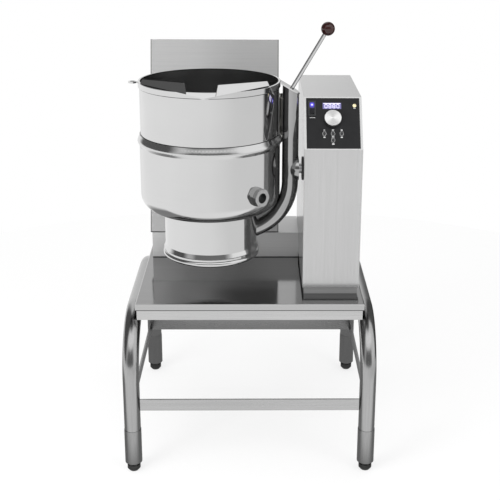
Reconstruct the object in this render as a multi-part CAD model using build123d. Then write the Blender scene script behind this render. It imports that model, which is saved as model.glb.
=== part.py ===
from build123d import *
import os
from math import atan2, cos, degrees, hypot, radians, sin, sqrt

# Electric tilting steam kettle on an open stand.  Millimetres, +Z up, the front faces -Y.
# While the pieces are laid out, Z is the height above the floor, X runs from the middle of the
# deck and Y from the deck's front edge.  The exported frame is moved to the middle of the footprint.

# ---- stand ----
leg_outset = 10.0          # deck's side edge to the middle of each leg tube
front_leg_y = -75.0
rear_leg_outset = 20.0     # deck's rear edge to the middle of the rear legs
leg_tube_d = 50.8
leg_tube_wall = 1.5
leg_bend_r = 175.0
foot_height = 30.0
foot_d = 41.0
foot_tip_d = 28.0
foot_taper_height = 8.0
foot_hex_height = 9.0
foot_hex_flats = 35.26
foot_stud_d = 12.0
foot_stud_length = 48.0
leg_plug_length = 26.0
sleeve_height = 113.0
sleeve_wall = 1.2
low_rail_z = 206.0         # underside of the flat rails between the legs
low_rail_width = 38.0
low_rail_thick = 5.0
rear_low_rail_inset = 100.0
top_rail_height = 30.0
top_rail_depth = 20.0
top_rail_wall = 1.5
front_top_rail_y = 0.0     # front face of the rail under the deck's front edge
top_rail_inset = 5.0

# ---- deck, riser box and back panel ----
deck_width = 710.0
deck_depth = 615.0
deck_top_z = 529.0
deck_sheet = 2.0
deck_flange = 22.0
deck_edge_r = 4.0
riser_left_inset = 15.0
riser_length = 189.0       # front to back, as far as the deck's rear edge
riser_height = 90.0
riser_sheet = 1.5
panel_left_inset = 9.0
panel_console_gap = 69.5   # panel's right edge to the console's left side
panel_lean = 15.6          # degrees back from upright
panel_length = 666.0
panel_sheet = 1.5
panel_return = 14.0
panel_foot_depth = 34.0
panel_setback = 5.5        # riser's front face to the panel's lower edge
panel_screw_count = 4
panel_screw_depth = 23.8   # panel's lower edge to its row of screws
panel_screw_r = 3.0
panel_screw_length = 13.5
panel_screw_head_r = 5.5
panel_screw_head_height = 3.5
panel_screw_crown = 1.2

# ---- console ----
console_right_inset = 10.5
console_width = 179.0
console_front_y = 85.0
console_back_inset = 34.0
control_face_rise = 79.8   # trunnion's axis to the control face's lower edge
slope_length = 175.0       # the sloped control face, measured up the slope
slope_angle = 54.7         # degrees from level
console_sheet = 1.5
console_edge_r = 1.2
plinth_height = 22.0
plinth_inset = 5.0
plinth_sheet = 2.0
cover_sheet = 1.5
cover_screw_rows = 3
cover_screw_inset = 9.0
cover_screw_end_inset = 27.0
cover_screw_r = 2.2
cover_screw_length = 10.0
cover_screw_head_r = 4.2
cover_screw_head_height = 2.6
cover_screw_crown = 0.9
cover_lug_depth = 10.0
cover_lug_height = 16.0
louvre_count = 8
louvre_pitch = 14.0
louvre_length = 90.0
louvre_opening = 4.0
louvre_top_inset = 116.0

# ---- control face: u runs right from the console's left edge, v runs up the slope ----
overlay_margin_left = 7.0
overlay_margin_right = 7.5
overlay_margin_top = 4.5
overlay_low_v = 3.5
overlay_thick = 1.5
knob_u_offset = -1.5       # from the console's middle
knob_top_inset = 76.0      # from the slope's top edge
knob_d = 52.0
knob_height = 13.5
knob_gap = 1.4
knob_skirt_wall = 3.0
knob_roof = 4.0
knob_hub_wall = 4.0
knob_edge_r = 1.2
knob_bore_depth = 11.0
encoder_shaft_d = 6.0
encoder_case = 14.0
encoder_case_height = 7.0
encoder_bush_wall = 1.3
shaft_hole_gap = 1.5
display_u_offset = -1.5    # from the knob's middle
display_top_inset = 31.0
display_length = 57.0
display_height = 20.0
display_window_thick = 1.9
display_rest = 1.5
display_gap = 0.1
display_module_gap = 0.5
rocker_u = 25.0
rocker_top_inset = 39.5
bezel_width = 24.0
bezel_height = 51.0
bezel_lip = 2.0
bezel_lip_width = 1.5
bezel_lip_end = 2.0
bezel_edge_r = 0.6
bezel_body_depth = 26.0
bezel_body_gap = 0.2
rocker_pocket_width = 15.0
rocker_pocket_height = 42.0
rocker_pocket_depth = 9.0
rocker_throw = 16.0        # degrees from ON to OFF
rocker_pin_w = -0.5        # the pin's height off the face
rocker_pin_r = 1.5
rocker_pin_length = 17.0
rocker_pin_end_gap = 0.2
rocker_side_gap = 0.3
rocker_end_gap = 0.4
rocker_tip_angle = 19.0
rocker_heel_depth = 4.0
key_row_v = 52.0
key_low_v = 30.0
key_spread = 26.5
key_width = 8.0
key_height = 11.0
key_proud = 0.9
key_travel = 0.6
key_gap = 0.25
key_flange_lip = 2.0
key_flange_depth = 3.0
key_switch = 6.0
lamp_right_inset = 23.0
lamp_top_inset = 30.0
lamp_d = 8.0
lamp_ring_lip = 1.6
lamp_ring_proud = 0.9
lamp_dome_inset = 0.4
board_depth = 12.0         # housing's outer face to the board's face
board_sheet = 1.6
board_left_u = 45.0
board_right_inset = 13.0
board_low_v = 12.0
board_top_inset = 9.5
board_post_r = 3.0
board_post_inset = 4.0
encoder_step = 2.0

# ---- kettle ----
base_clearance = 114.7     # deck's top to the underside of the kettle's base
kettle_y = 165.0
bowl_outer_r = 213.8
bowl_wall = 3.0
bowl_straight = 180.7      # rim's top to where the round bottom starts
rim_bar_thick = 3.5
rim_height = 17.0
rim_cap = 3.5
rim_edge_r = 1.0
jacket_gap = 1.2           # bowl to jacket, round the straight wall
jacket_wall = 2.5
jacket_knuckle_r = 52.0
jacket_bottom_gap = 7.5    # bowl's lowest point to the jacket's underside
seam_drop = 162.5          # rim's top to the seam band's top
seam_height = 34.0
seam_proud = 5.3
seam_swell_height = 11.0
seam_top_width = 1.2
drum_outer_r = 145.8
drum_wall = 2.0
drum_height = 114.5
base_ring_height = 38.3
base_flare_lip = 4.2
base_flare_step = 9.0
base_groove_height = 6.0
base_groove_lip = 1.2
base_bead_lip = 6.7
base_bead_height = 16.0
base_bead_turn_in = 4.8
base_ring_depth = 12.3     # drum's outer face to the ring's inner face
base_cover_rise = 4.0
base_cover_sheet = 2.0
sump_plate_thick = 8.0
element_d = 9.0
element_span = 54.0
element_height = 66.0
element_tail = 14.0
element_bend_share = 0.9
element_ring_r = 74.0
element_count = 3
probe_d = 8.0
probe_length = 84.0
probe_tail = 10.0
probe_offset = 16.0
beak_overhang = 80.7       # rim to the tip of the pouring beak
beak_thick = 4.0
beak_nose_r = 8.0
beak_root_lap = 1.13       # how far inside the rim's edge the beak's edges start
beak_root_angle = 18.97    # degrees ahead of the kettle's middle line
guard_thick = 2.5
guard_rear_height = 14.0
guard_front_height = 30.0
guard_lean = 20.0          # degrees in from upright
guard_front_slant = 20.0
guard_rear_slant = 4.0
guard_corner_r = 7.0
left_guard_start = 2.0     # distances along the beak's edge from its root
left_guard_stop_short = 84.9
right_guard_start = 34.0
right_guard_stop_short = 44.9
eye_outer_d = 26.0
eye_bore_d = 15.0
eye_thick = 5.0
eye_reach = 17.3           # rim to the middle of the eye
eye_drop = 7.5
eye_neck_width = 8.0
eye_neck_lap = 4.0

# ---- carrier tube, lever and trunnion ----
carrier_gap = 0.8          # seam band to the carrier tube
carrier_tube_d = 51.0
carrier_tube_wall = 2.0
carrier_bend_r = 165.0
carrier_bend_rise = 81.5   # jacket's underside to where the bend starts
carrier_bend_angle = 66.0
carrier_run_on = 60.0
cap_slant = 30.6           # degrees that the tube's top falls to the right
cap_edge_inset = 4.4       # rim's edge to a point on the cap plate's upper face
cap_edge_drop = 0.5
cap_thick = 4.0
cap_overhang = 2.0
cap_bridge_lap = 40.0
lever_foot_offset = 7.0
lever_foot_drop = 18.5
lever_angle = 59.65        # degrees above level
lever_length = 202.8
lever_d = 12.0
lever_root = 26.0
ball_d = 42.0
ball_socket_depth = 22.0
trunnion_drop = 278.3      # rim's top to the trunnion's axis
shaft_d = 30.0
shaft_bore_d = 16.0
shaft_end_inset = 16.5
boss_r = 37.0
boss_gap = 9.5             # boss's flat face to the seal
boss_proud = 1.5           # carrier tube's outer edge to the boss's flat face
boss_recess_depth = 6.0
boss_recess_outer_r = 32.0
boss_hub_r = 19.0
seal_outer_r = 37.0
seal_lip_r = 27.0
seal_thick = 4.0
seal_edge_r = 1.2
seal_spigot_length = 3.0
running_clearance = 0.05
loose_clearance = 0.3
bearing_width = 24.0
bearing_height = 46.0      # bracket's top to the shaft's axis
bearing_cap_r = 32.0
bearing_foot = 100.0
bearing_foot_height = 14.0
bearing_near_inset = 30.5
bearing_far_inset = 40.5
bearing_bolt_inset = 9.0
bearing_bolt_flats = 13.0
bearing_bolt_height = 6.0
bracket_plate = 6.0
bracket_side_gap = 116.0
bracket_overhang = 4.0
collar_outer_r = 24.0
collar_width = 10.0
stop_arm_width = 16.0
stop_arm_length = 43.0
stop_arm_thick = 14.0
stop_hub_r = 25.0
stop_block_depth = 12.0
stop_block_height = 14.0
stop_block_lap = 22.0
stop_post_gap = 3.0
stop_nose_gap = 4.0

# ---- sight glass and relief valve on the jacket ----
sight_angle = 42.5         # degrees round from the front towards the console
sight_rise = 77.5          # jacket's underside to the glass's middle
sight_boss_r = 29.0
sight_boss_proud = 10.0
sight_boss_sunk = 12.0
sight_boss_bore_r = 18.5
sight_nut_flats = 52.0
sight_nut_round = 1.07
sight_nut_thick = 12.0
sight_nut_bore_r = 15.5
sight_lens_thick = 4.0
valve_angle = 36.0         # degrees behind the kettle's right-hand side
valve_drop = 22.0          # seam band's foot to the nipple's axis
valve_outset = 60.3        # jacket to the valve's upright axis
valve_nipple_r = 10.5
valve_elbow_r = 15.0
valve_nut_flats = 30.0
valve_nut_height = 22.0
valve_rise = 67.0          # nipple's axis to the top of the nut
valve_body_r = 14.0
valve_body_height = 68.0
valve_body_edge_r = 2.0
valve_outlet_rise = 14.0
valve_outlet_r = 8.0
valve_outlet_bore_r = 5.5
valve_outlet_length = 20.0
valve_outlet_bore_depth = 14.0
valve_stem_r = 4.0
valve_lever_length = 48.0
valve_lever_thick = 3.0
valve_lever_width = 12.0
valve_lever_offset = -8.0  # valve's axis to the test lever's pin
valve_lever_rise = 9.0
valve_ear_length = 9.0
valve_ear_wall = 3.5
valve_ear_height = 16.0
valve_ear_sunk = 2.0
valve_pin_r = 2.0
valve_knuckle_wall = 1.8

# ---- electrical pieces in the console ----
rail_rise = 249.0          # console's base to the middle of the rail
rail_height = 35.0
rail_depth = 7.5
rail_sheet = 1.0
rail_brim = 4.0
rail_back_gap = 41.0
rail_length = 290.0
contactor_start = 50.0     # rail's front end to the contactor
contactor_width = 46.0
contactor_height = 85.0
contactor_depth = 80.0
contactor_step = 16.0
contactor_low_share = 0.55
contactor_poles = 3
contactor_screw_r = 3.4
contactor_screw_depth = 6.0
terminal_start = 150.0
terminal_width = 64.0
terminal_height = 44.0
terminal_depth = 42.0
terminal_ways = 6
terminal_screw_inset = 9.0
terminal_screw_r = 3.2
terminal_screw_depth = 7.0
terminal_slit = 0.8
terminal_slit_depth = 12.0
gland_rise = 69.0
gland_bore_r = 7.0
gland_thread_r = 12.5
gland_hex_flats = 32.0
gland_nut_thick = 6.0
gland_hex_thick = 8.0
gland_dome_length = 22.0
gland_dome_r = 15.0
gland_dome_edge_r = 6.0
past = 1.0                 # how far a cutting shape runs past what it cuts

# ---- sizes that follow ----
leg_tube_r = leg_tube_d / 2
deck_half = deck_width / 2
deck_under_z = deck_top_z - deck_flange
leg_x = deck_half + leg_outset
leg_inner_x = leg_x - leg_tube_r
rear_leg_y = deck_depth + rear_leg_outset
rear_low_rail_y = rear_leg_y - rear_low_rail_inset
leg_top_z = deck_under_z - sqrt(leg_tube_r**2 - leg_outset**2) - running_clearance
plate_half = low_rail_thick / 2
rear_top_rail_y = rear_leg_y - leg_bend_r - top_rail_depth
top_rail_half_length = deck_half - top_rail_inset

base_bottom_z = deck_top_z + base_clearance
drum_bottom_z = base_bottom_z + base_ring_height
jacket_bottom_z = drum_bottom_z + drum_height
bowl_bend_z = jacket_bottom_z + jacket_bottom_gap + bowl_outer_r
rim_top_z = bowl_bend_z + bowl_straight
seam_top_z = rim_top_z - seam_drop
seam_bottom_z = seam_top_z - seam_height
trunnion_z = rim_top_z - trunnion_drop
sight_z = jacket_bottom_z + sight_rise
valve_z = seam_bottom_z - valve_drop
valve_nut_top_z = valve_z + valve_rise
valve_nut_low_z = valve_nut_top_z - valve_nut_height
valve_body_top_z = valve_nut_top_z + valve_body_height
eye_z = rim_top_z - eye_drop

rim_outer_r = bowl_outer_r + rim_bar_thick
jacket_outer_r = bowl_outer_r + jacket_gap + jacket_wall
seam_outer_r = jacket_outer_r + seam_proud
base_inner_r = drum_outer_r - base_ring_depth
valve_reach = jacket_outer_r + valve_outset

riser_left_x = riser_left_inset - deck_half
riser_front_y = deck_depth - riser_length
riser_top_z = deck_top_z + riser_height
panel_left_x = panel_left_inset - deck_half

console_right_x = deck_half - console_right_inset
console_left_x = console_right_x - console_width
panel_width = console_left_x - panel_console_gap - panel_left_x
console_middle_x = (console_left_x + console_right_x) / 2
console_back_y = deck_depth - console_back_inset
console_base_z = deck_top_z + plinth_height
console_front_top_z = trunnion_z + control_face_rise
slope_top_y = console_front_y + slope_length * cos(radians(slope_angle))
slope_top_z = console_front_top_z + slope_length * sin(radians(slope_angle))

carrier_tube_r = carrier_tube_d / 2
seal_face_x = console_left_x - seal_thick
boss_face_x = seal_face_x - boss_gap
carrier_x = boss_face_x - boss_proud - carrier_tube_r
carrier_bend_z = jacket_bottom_z + carrier_bend_rise
kettle_x = carrier_x - carrier_tube_r - carrier_gap - seam_outer_r
cap_edge_x = kettle_x + rim_outer_r - cap_edge_inset
cap_edge_z = rim_top_z - cap_edge_drop
lever_foot_x = carrier_x + lever_foot_offset
lever_foot_z = rim_top_z - lever_foot_drop
ball_x = lever_foot_x + lever_length * cos(radians(lever_angle))
ball_z = lever_foot_z + lever_length * sin(radians(lever_angle))
shaft_end_x = console_right_x - shaft_end_inset
bearing_near_x = console_left_x + bearing_near_inset
bearing_far_x = console_right_x - bearing_far_inset
bracket_top_z = trunnion_z - bearing_height
stop_middle_x = (bearing_near_x + bearing_far_x) / 2

beak_tip_reach = rim_outer_r + beak_overhang
beak_root_x = (rim_outer_r - beak_root_lap) * cos(radians(beak_root_angle))
beak_root_y = (rim_outer_r - beak_root_lap) * sin(radians(beak_root_angle))
beak_edge_length = hypot(beak_root_x, beak_tip_reach - beak_root_y)
beak_edge_angle = degrees(atan2(beak_tip_reach - beak_root_y, beak_root_x))
beak_nose_y = kettle_y - beak_tip_reach + beak_nose_r * (1 / cos(radians(beak_edge_angle)) - 1)
rear_outer_y = rear_leg_y + leg_tube_r
origin_y = (beak_nose_y + rear_outer_y) / 2

overlay_left_u = overlay_margin_left
overlay_right_u = console_width - overlay_margin_right
overlay_high_v = slope_length - overlay_margin_top
knob_u = console_width / 2 + knob_u_offset
knob_v = slope_length - knob_top_inset
display_u = knob_u + display_u_offset
display_v = slope_length - display_top_inset
rocker_v = slope_length - rocker_top_inset
lamp_u = console_width - lamp_right_inset
lamp_v = slope_length - lamp_top_inset
key_places = {
    "key_left": (knob_u - key_spread, key_row_v),
    "key_middle": (knob_u, key_row_v),
    "key_right": (knob_u + key_spread, key_row_v),
    "key_lower": (knob_u, key_low_v),
}

rail_z = console_base_z + rail_rise
rail_start_y = console_back_y - rail_back_gap - rail_length
rail_seat_x = console_right_x - console_sheet - rail_depth
contactor_y = rail_start_y + contactor_start
terminal_y = rail_start_y + terminal_start
gland_z = console_base_z + gland_rise

control_face = Plane(
    origin=(console_left_x, console_front_y, console_front_top_z),
    x_dir=(1, 0, 0),
    z_dir=(0, -sin(radians(slope_angle)), cos(radians(slope_angle))),
)
kettle_axis = Pos(kettle_x, kettle_y, 0)
sight_out = (sin(radians(sight_angle)), -cos(radians(sight_angle)), 0)
sight_across = (cos(radians(sight_angle)), sin(radians(sight_angle)), 0)
sight_place = Plane(origin=(kettle_x, kettle_y, sight_z), x_dir=sight_across, z_dir=sight_out).location
valve_out = (cos(radians(valve_angle)), sin(radians(valve_angle)), 0)
valve_across = (-sin(radians(valve_angle)), cos(radians(valve_angle)), 0)
valve_place = Plane(origin=(kettle_x, kettle_y, valve_z), x_dir=valve_across, z_dir=valve_out).location
valve_x = kettle_x + valve_reach * valve_out[0]
valve_y = kettle_y + valve_reach * valve_out[1]
lever_hinge = Pos(valve_x, valve_y, valve_body_top_z + valve_lever_rise) * Rot(Z=valve_angle)
lever_hinge = lever_hinge * Pos(valve_lever_offset, 0, 0)


def save(name, *pieces):
    """Writes one node, moved so that Y runs from the middle of the footprint."""
    shapes = [Pos(0, -origin_y, 0) * solid for piece in pieces for solid in piece.solids()]
    node = shapes[0] if len(shapes) == 1 else Compound(children=shapes)
    node.label = name
    export_step(node, os.path.join("parts", name + ".step"))


def block(x_range, y_range, z_range):
    """A box between two values on each axis."""
    size = [high - low for low, high in (x_range, y_range, z_range)]
    middle = [(low + high) / 2 for low, high in (x_range, y_range, z_range)]
    return Pos(*middle) * Box(*size)


def upright(x, y, z_range, radius):
    """A vertical cylinder."""
    low, high = z_range
    return Pos(x, y, (low + high) / 2) * Cylinder(radius, high - low)


def cross_rod(x_range, y, z, radius):
    """A cylinder along X."""
    low, high = x_range
    return Pos((low + high) / 2, y, z) * Rot(Y=90) * Cylinder(radius, high - low)


def along(place, radius, span):
    """A cylinder along a place's own Z, between two distances from its origin."""
    low, high = span
    return place * Pos(0, 0, (low + high) / 2) * Cylinder(radius, high - low)


def spun(points):
    """A solid of revolution about the kettle's axis, from its half section (radius, height)."""
    section = Plane.XZ * make_face(Polyline(*points, close=True))
    return kettle_axis * revolve(section, Axis.Z, 360)


def hexagon(flats):
    """A hexagon sketch with the given width across its flats."""
    return RegularPolygon(flats / 2, 6, major_radius=False)


# ------------------------------------------------------------------ stand


def leg_path(x):
    """The bent line of one leg frame: up at the front, over, and down at the rear."""
    return FilletPolyline(
        (x, front_leg_y, foot_height),
        (x, front_leg_y, leg_top_z),
        (x, rear_leg_y, leg_top_z),
        (x, rear_leg_y, foot_height),
        radius=leg_bend_r,
    )


def leg_frame(x):
    """One tube bent to an inverted U, standing front to rear."""
    start = Plane(origin=(x, front_leg_y, foot_height), z_dir=(0, 0, 1))
    ring = Circle(leg_tube_r) - Circle(leg_tube_r - leg_tube_wall)
    return sweep(start * ring, path=leg_path(x))


def leg_bar(x):
    """The leg frame's tube as a full bar with the weld's root gap, used to cope what meets it."""
    start = Plane(origin=(x, front_leg_y, foot_height), z_dir=(0, 0, 1))
    return sweep(start * Circle(leg_tube_r + running_clearance), path=leg_path(x))


def top_rail(front_y):
    """A rectangular tube under the deck, its ends coped to the leg frames."""
    low_z = deck_under_z - top_rail_height
    ends = (-top_rail_half_length, top_rail_half_length)
    wall = top_rail_wall
    outer = block(ends, (front_y, front_y + top_rail_depth), (low_z, deck_under_z))
    inner = block(
        ends,
        (front_y + wall, front_y + top_rail_depth - wall),
        (low_z + wall, deck_under_z - wall),
    )
    rail = outer - inner - leg_bar(-leg_x) - leg_bar(leg_x)
    return rail.solids().sort_by(SortBy.VOLUME)[-1]


def front_low_rail():
    """A flat bar on edge between the two front legs, welded to both."""
    half_length = leg_inner_x - running_clearance
    return block(
        (-half_length, half_length),
        (front_leg_y - plate_half, front_leg_y + plate_half),
        (low_rail_z, low_rail_z + low_rail_width),
    )


def side_low_rail(x):
    """A flat bar on edge between the front and rear legs of one frame."""
    weld_reach = leg_tube_r + running_clearance
    return block(
        (x - plate_half, x + plate_half),
        (front_leg_y + weld_reach, rear_leg_y - weld_reach),
        (low_rail_z, low_rail_z + low_rail_width),
    )


def rear_low_rail():
    """A flat bar on edge between the two side rails."""
    inner_x = leg_x - plate_half
    return block(
        (-inner_x, inner_x),
        (rear_low_rail_y - plate_half, rear_low_rail_y + plate_half),
        (low_rail_z, low_rail_z + low_rail_width),
    )


def leg_places():
    return [(x, y) for y in (front_leg_y, rear_leg_y) for x in (-leg_x, leg_x)]


def leg_sleeve(x, y):
    """A thin collar over the foot end of a leg."""
    top = foot_height + sleeve_height
    shell = upright(x, y, (foot_height, top), leg_tube_r + sleeve_wall)
    return shell - upright(x, y, (foot_height, top), leg_tube_r)


def leg_plug(x, y):
    """The threaded plug in a leg's end, which the foot's stud screws into."""
    span = (foot_height, foot_height + leg_plug_length)
    plug = upright(x, y, span, leg_tube_r - leg_tube_wall)
    return plug - upright(x, y, span, foot_stud_d / 2 + running_clearance)


def bullet_foot(x, y):
    """A bullet foot with its threaded stud."""
    hex_low_z = foot_height - foot_hex_height
    shoulder_r = foot_d / 2
    section = Polyline(
        (0, 0),
        (foot_tip_d / 2, 0),
        (shoulder_r, foot_taper_height),
        (shoulder_r, hex_low_z),
        (0, hex_low_z),
        close=True,
    )
    body = revolve(Plane.XZ * make_face(section), Axis.Z, 360)
    nut = Pos(0, 0, hex_low_z) * extrude(hexagon(foot_hex_flats), foot_hex_height)
    stud = Pos(0, 0, foot_height + foot_stud_length / 2) * Cylinder(foot_stud_d / 2, foot_stud_length)
    return Pos(x, y, 0) * (body + nut + stud)


# ------------------------------------------------------------------ deck, riser and back panel


def deck_pan():
    """The folded sheet top of the stand, open underneath."""
    outer = block((-deck_half, deck_half), (0, deck_depth), (deck_under_z, deck_top_z))
    outer = fillet(outer.faces().sort_by(Axis.Z)[-1].edges(), deck_edge_r)
    inner = block(
        (-deck_half + deck_sheet, deck_half - deck_sheet),
        (deck_sheet, deck_depth - deck_sheet),
        (deck_under_z, deck_top_z - deck_sheet),
    )
    inner = fillet(inner.faces().sort_by(Axis.Z)[-1].edges(), deck_edge_r - deck_sheet)
    return outer - inner


def riser_screw_spots():
    """Places of the screws that hold the back panel's foot to the riser box."""
    step = panel_width / panel_screw_count
    row_y = riser_front_y + panel_setback + panel_screw_depth
    return [(panel_left_x + step * (i + 0.5), row_y) for i in range(panel_screw_count)]


def riser_box():
    """The low sheet box behind the kettle that carries the back panel."""
    span_x = (riser_left_x, console_left_x)
    span_y = (riser_front_y, deck_depth - deck_sheet)
    t = riser_sheet
    outer = block(span_x, span_y, (deck_top_z, riser_top_z))
    inner = block(
        (span_x[0] + t, span_x[1] - t),
        (span_y[0] + t, span_y[1] - t),
        (deck_top_z, riser_top_z - t),
    )
    box = outer - inner
    for x, y in riser_screw_spots():
        box -= upright(x, y, (riser_top_z - t - past, riser_top_z + past), panel_screw_r)
    return box


def back_panel():
    """The sheet that leans back behind the kettle, with folded sides, top and foot."""
    right_x = panel_left_x + panel_width
    t = panel_sheet
    front_y = riser_front_y + panel_setback
    sheet = block((panel_left_x, right_x), (0, t), (0, panel_length))
    left_fold = block((panel_left_x, panel_left_x + t), (0, panel_return), (0, panel_length))
    right_fold = block((right_x - t, right_x), (0, panel_return), (0, panel_length))
    top_fold = block((panel_left_x, right_x), (0, panel_return), (panel_length - t, panel_length))
    leaning = sheet + left_fold + right_fold + top_fold
    leaning = Pos(0, front_y, riser_top_z) * Rot(X=-panel_lean) * leaning
    foot = block(
        (panel_left_x + t, right_x - t),
        (front_y, front_y + panel_foot_depth),
        (riser_top_z, riser_top_z + t),
    )
    for x, y in riser_screw_spots():
        foot -= upright(x, y, (riser_top_z - past, riser_top_z + t + past), panel_screw_r)
    below = block(
        (panel_left_x - past, right_x + past),
        (front_y - panel_foot_depth, front_y + panel_foot_depth),
        (riser_top_z - panel_return, riser_top_z),
    )
    return leaning + foot - below


def panel_screw(x, y):
    """A pan-head screw through the panel's foot into the riser box."""
    seat_z = riser_top_z + panel_sheet
    shank = upright(x, y, (seat_z - panel_screw_length, seat_z), panel_screw_r)
    head = upright(x, y, (seat_z, seat_z + panel_screw_head_height), panel_screw_head_r)
    return shank + fillet(head.faces().sort_by(Axis.Z)[-1].edges(), panel_screw_crown)


# ------------------------------------------------------------------ console


def on_face(u, v, w_range):
    """The place of a piece whose middle lies at u, v and between two heights off the face."""
    low, high = w_range
    return control_face.location * Pos(u, v, (low + high) / 2)


def face_block(u, v, width, height, w_range):
    return on_face(u, v, w_range) * Box(width, height, w_range[1] - w_range[0])


def face_disc(u, v, radius, w_range):
    return on_face(u, v, w_range) * Cylinder(radius, w_range[1] - w_range[0])


def face_slot(u, v, width, height, w_range):
    """An upright oval key shape on the control face."""
    oval = extrude(Rot(Z=90) * SlotOverall(height, width), w_range[1] - w_range[0])
    return control_face.location * Pos(u, v, w_range[0]) * oval


def display_cut_size():
    """The hole in the housing behind the display's window, which rests on its edge."""
    return display_length - 2 * display_rest, display_height - 2 * display_rest


def bezel_hole_size():
    """The hole that the switch's body drops into."""
    return bezel_width - 2 * bezel_lip_width, bezel_height - 2 * bezel_lip_end


def face_openings(w_range, display_size):
    """What is cut through the housing or the overlay for the controls."""
    cuts = face_block(rocker_u, rocker_v, *bezel_hole_size(), w_range)
    cuts += face_block(display_u, display_v, *display_size, w_range)
    cuts += face_disc(knob_u, knob_v, encoder_shaft_d / 2 + shaft_hole_gap, w_range)
    cuts += face_disc(lamp_u, lamp_v, lamp_d / 2, w_range)
    for u, v in key_places.values():
        cuts += face_slot(u, v, key_width + 2 * key_gap, key_height + 2 * key_gap, w_range)
    return cuts


def console_outline():
    """The side view of the console's housing, as a sketch in Y and Z."""
    return Plane.YZ * make_face(
        Polyline(
            (console_front_y, console_base_z),
            (console_front_y, console_front_top_z),
            (slope_top_y, slope_top_z),
            (console_back_y, slope_top_z),
            (console_back_y, console_base_z),
            close=True,
        )
    )


def console_housing():
    """The console's folded sheet housing, open at the back."""
    t = console_sheet
    outline = console_outline()
    outer = Pos(console_left_x, 0, 0) * extrude(outline, console_width, dir=(1, 0, 0))
    upright_edges = outer.edges().filter_by(Axis.Z).sort_by(Axis.Y)[:2]
    outer = fillet(upright_edges, console_edge_r)
    smaller = offset(outline, -t, kind=Kind.INTERSECTION)
    inner = Pos(console_left_x + t, 0, 0) * extrude(smaller, console_width - 2 * t, dir=(1, 0, 0))
    back = block(
        (console_left_x + t, console_right_x - t),
        (console_back_y - 2 * t, console_back_y),
        (console_base_z + t, slope_top_z - t),
    )
    housing = outer - inner - back
    housing -= face_openings((-3 * t, t), display_cut_size())
    for lug in cover_lugs():
        housing += lug
    seal_span = (console_left_x - past, console_left_x + t + past)
    return housing - cross_rod(seal_span, kettle_y, trunnion_z, seal_lip_r)


def cover_screw_spots():
    """Places of the screws down both edges of the back cover."""
    low_z = console_base_z + cover_screw_end_inset
    high_z = slope_top_z - cover_screw_end_inset
    step = (high_z - low_z) / (cover_screw_rows - 1)
    rows = [low_z + step * i for i in range(cover_screw_rows)]
    columns = (console_left_x + cover_screw_inset, console_right_x - cover_screw_inset)
    return [(x, z) for x in columns for z in rows]


def console_back_cover():
    """The flat cover that closes the console, with louvre slots and the cable's hole."""
    cover = block(
        (console_left_x, console_right_x),
        (console_back_y, console_back_y + cover_sheet),
        (console_base_z, slope_top_z),
    )
    half_length = louvre_length / 2
    for i in range(louvre_count):
        high_z = slope_top_z - louvre_top_inset - i * louvre_pitch
        cover -= block(
            (console_middle_x - half_length, console_middle_x + half_length),
            (console_back_y - past, console_back_y + cover_sheet + past),
            (high_z - louvre_opening, high_z),
        )
    for x, z in cover_screw_spots():
        cover -= rear_hole(x, z, cover_screw_r)
    return cover - rear_hole(console_middle_x, gland_z, gland_thread_r)


def rear_hole(x, z, radius):
    """A cutting bar through the back cover and what lies just inside it."""
    return Pos(x, console_back_y, z) * Rot(X=90) * Cylinder(radius, 2 * (cover_lug_depth + past))


def cover_lugs():
    """The lugs inside the housing's side walls that the cover's screws bite."""
    half_width = cover_screw_inset - console_sheet
    half_height = cover_lug_height / 2
    span_y = (console_back_y - cover_lug_depth, console_back_y)
    lugs = []
    for x, z in cover_screw_spots():
        lug = block((x - half_width, x + half_width), span_y, (z - half_height, z + half_height))
        lugs.append(lug - rear_hole(x, z, cover_screw_r))
    return lugs


def cover_screw(x, z):
    """A pan-head screw through the back cover into its lug."""
    place = Pos(x, console_back_y + cover_sheet, z) * Rot(X=-90)
    shank = along(place, cover_screw_r, (-cover_screw_length, 0))
    head = along(place, cover_screw_head_r, (0, cover_screw_head_height))
    return shank + fillet(head.faces().sort_by(Axis.Y)[-1].edges(), cover_screw_crown)


def console_plinth():
    """The recessed frame that the housing stands on."""
    t = plinth_sheet
    span_x = (console_left_x + plinth_inset, console_right_x - plinth_inset)
    span_y = (console_front_y + plinth_inset, console_back_y - plinth_inset)
    span_z = (deck_top_z, console_base_z)
    outer = block(span_x, span_y, span_z)
    return outer - block((span_x[0] + t, span_x[1] - t), (span_y[0] + t, span_y[1] - t), span_z)


def control_overlay():
    """The dark plate on the sloped face, pierced for the controls."""
    width = overlay_right_u - overlay_left_u
    height = overlay_high_v - overlay_low_v
    middle_u = (overlay_left_u + overlay_right_u) / 2
    middle_v = (overlay_low_v + overlay_high_v) / 2
    plate = face_block(middle_u, middle_v, width, height, (0, overlay_thick))
    return plate - face_openings((-past, overlay_thick + past), (display_length, display_height))


def display_window():
    """The tinted window in the overlay, standing a little proud of it."""
    width = display_length - 2 * display_gap
    height = display_height - 2 * display_gap
    return face_block(display_u, display_v, width, height, (0, display_window_thick))


def display_module():
    """The display's own block on the board, behind the window."""
    width, height = display_cut_size()
    return face_block(
        display_u,
        display_v,
        width - 2 * display_module_gap,
        height - 2 * display_module_gap,
        (-board_depth, -loose_clearance),
    )


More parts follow.
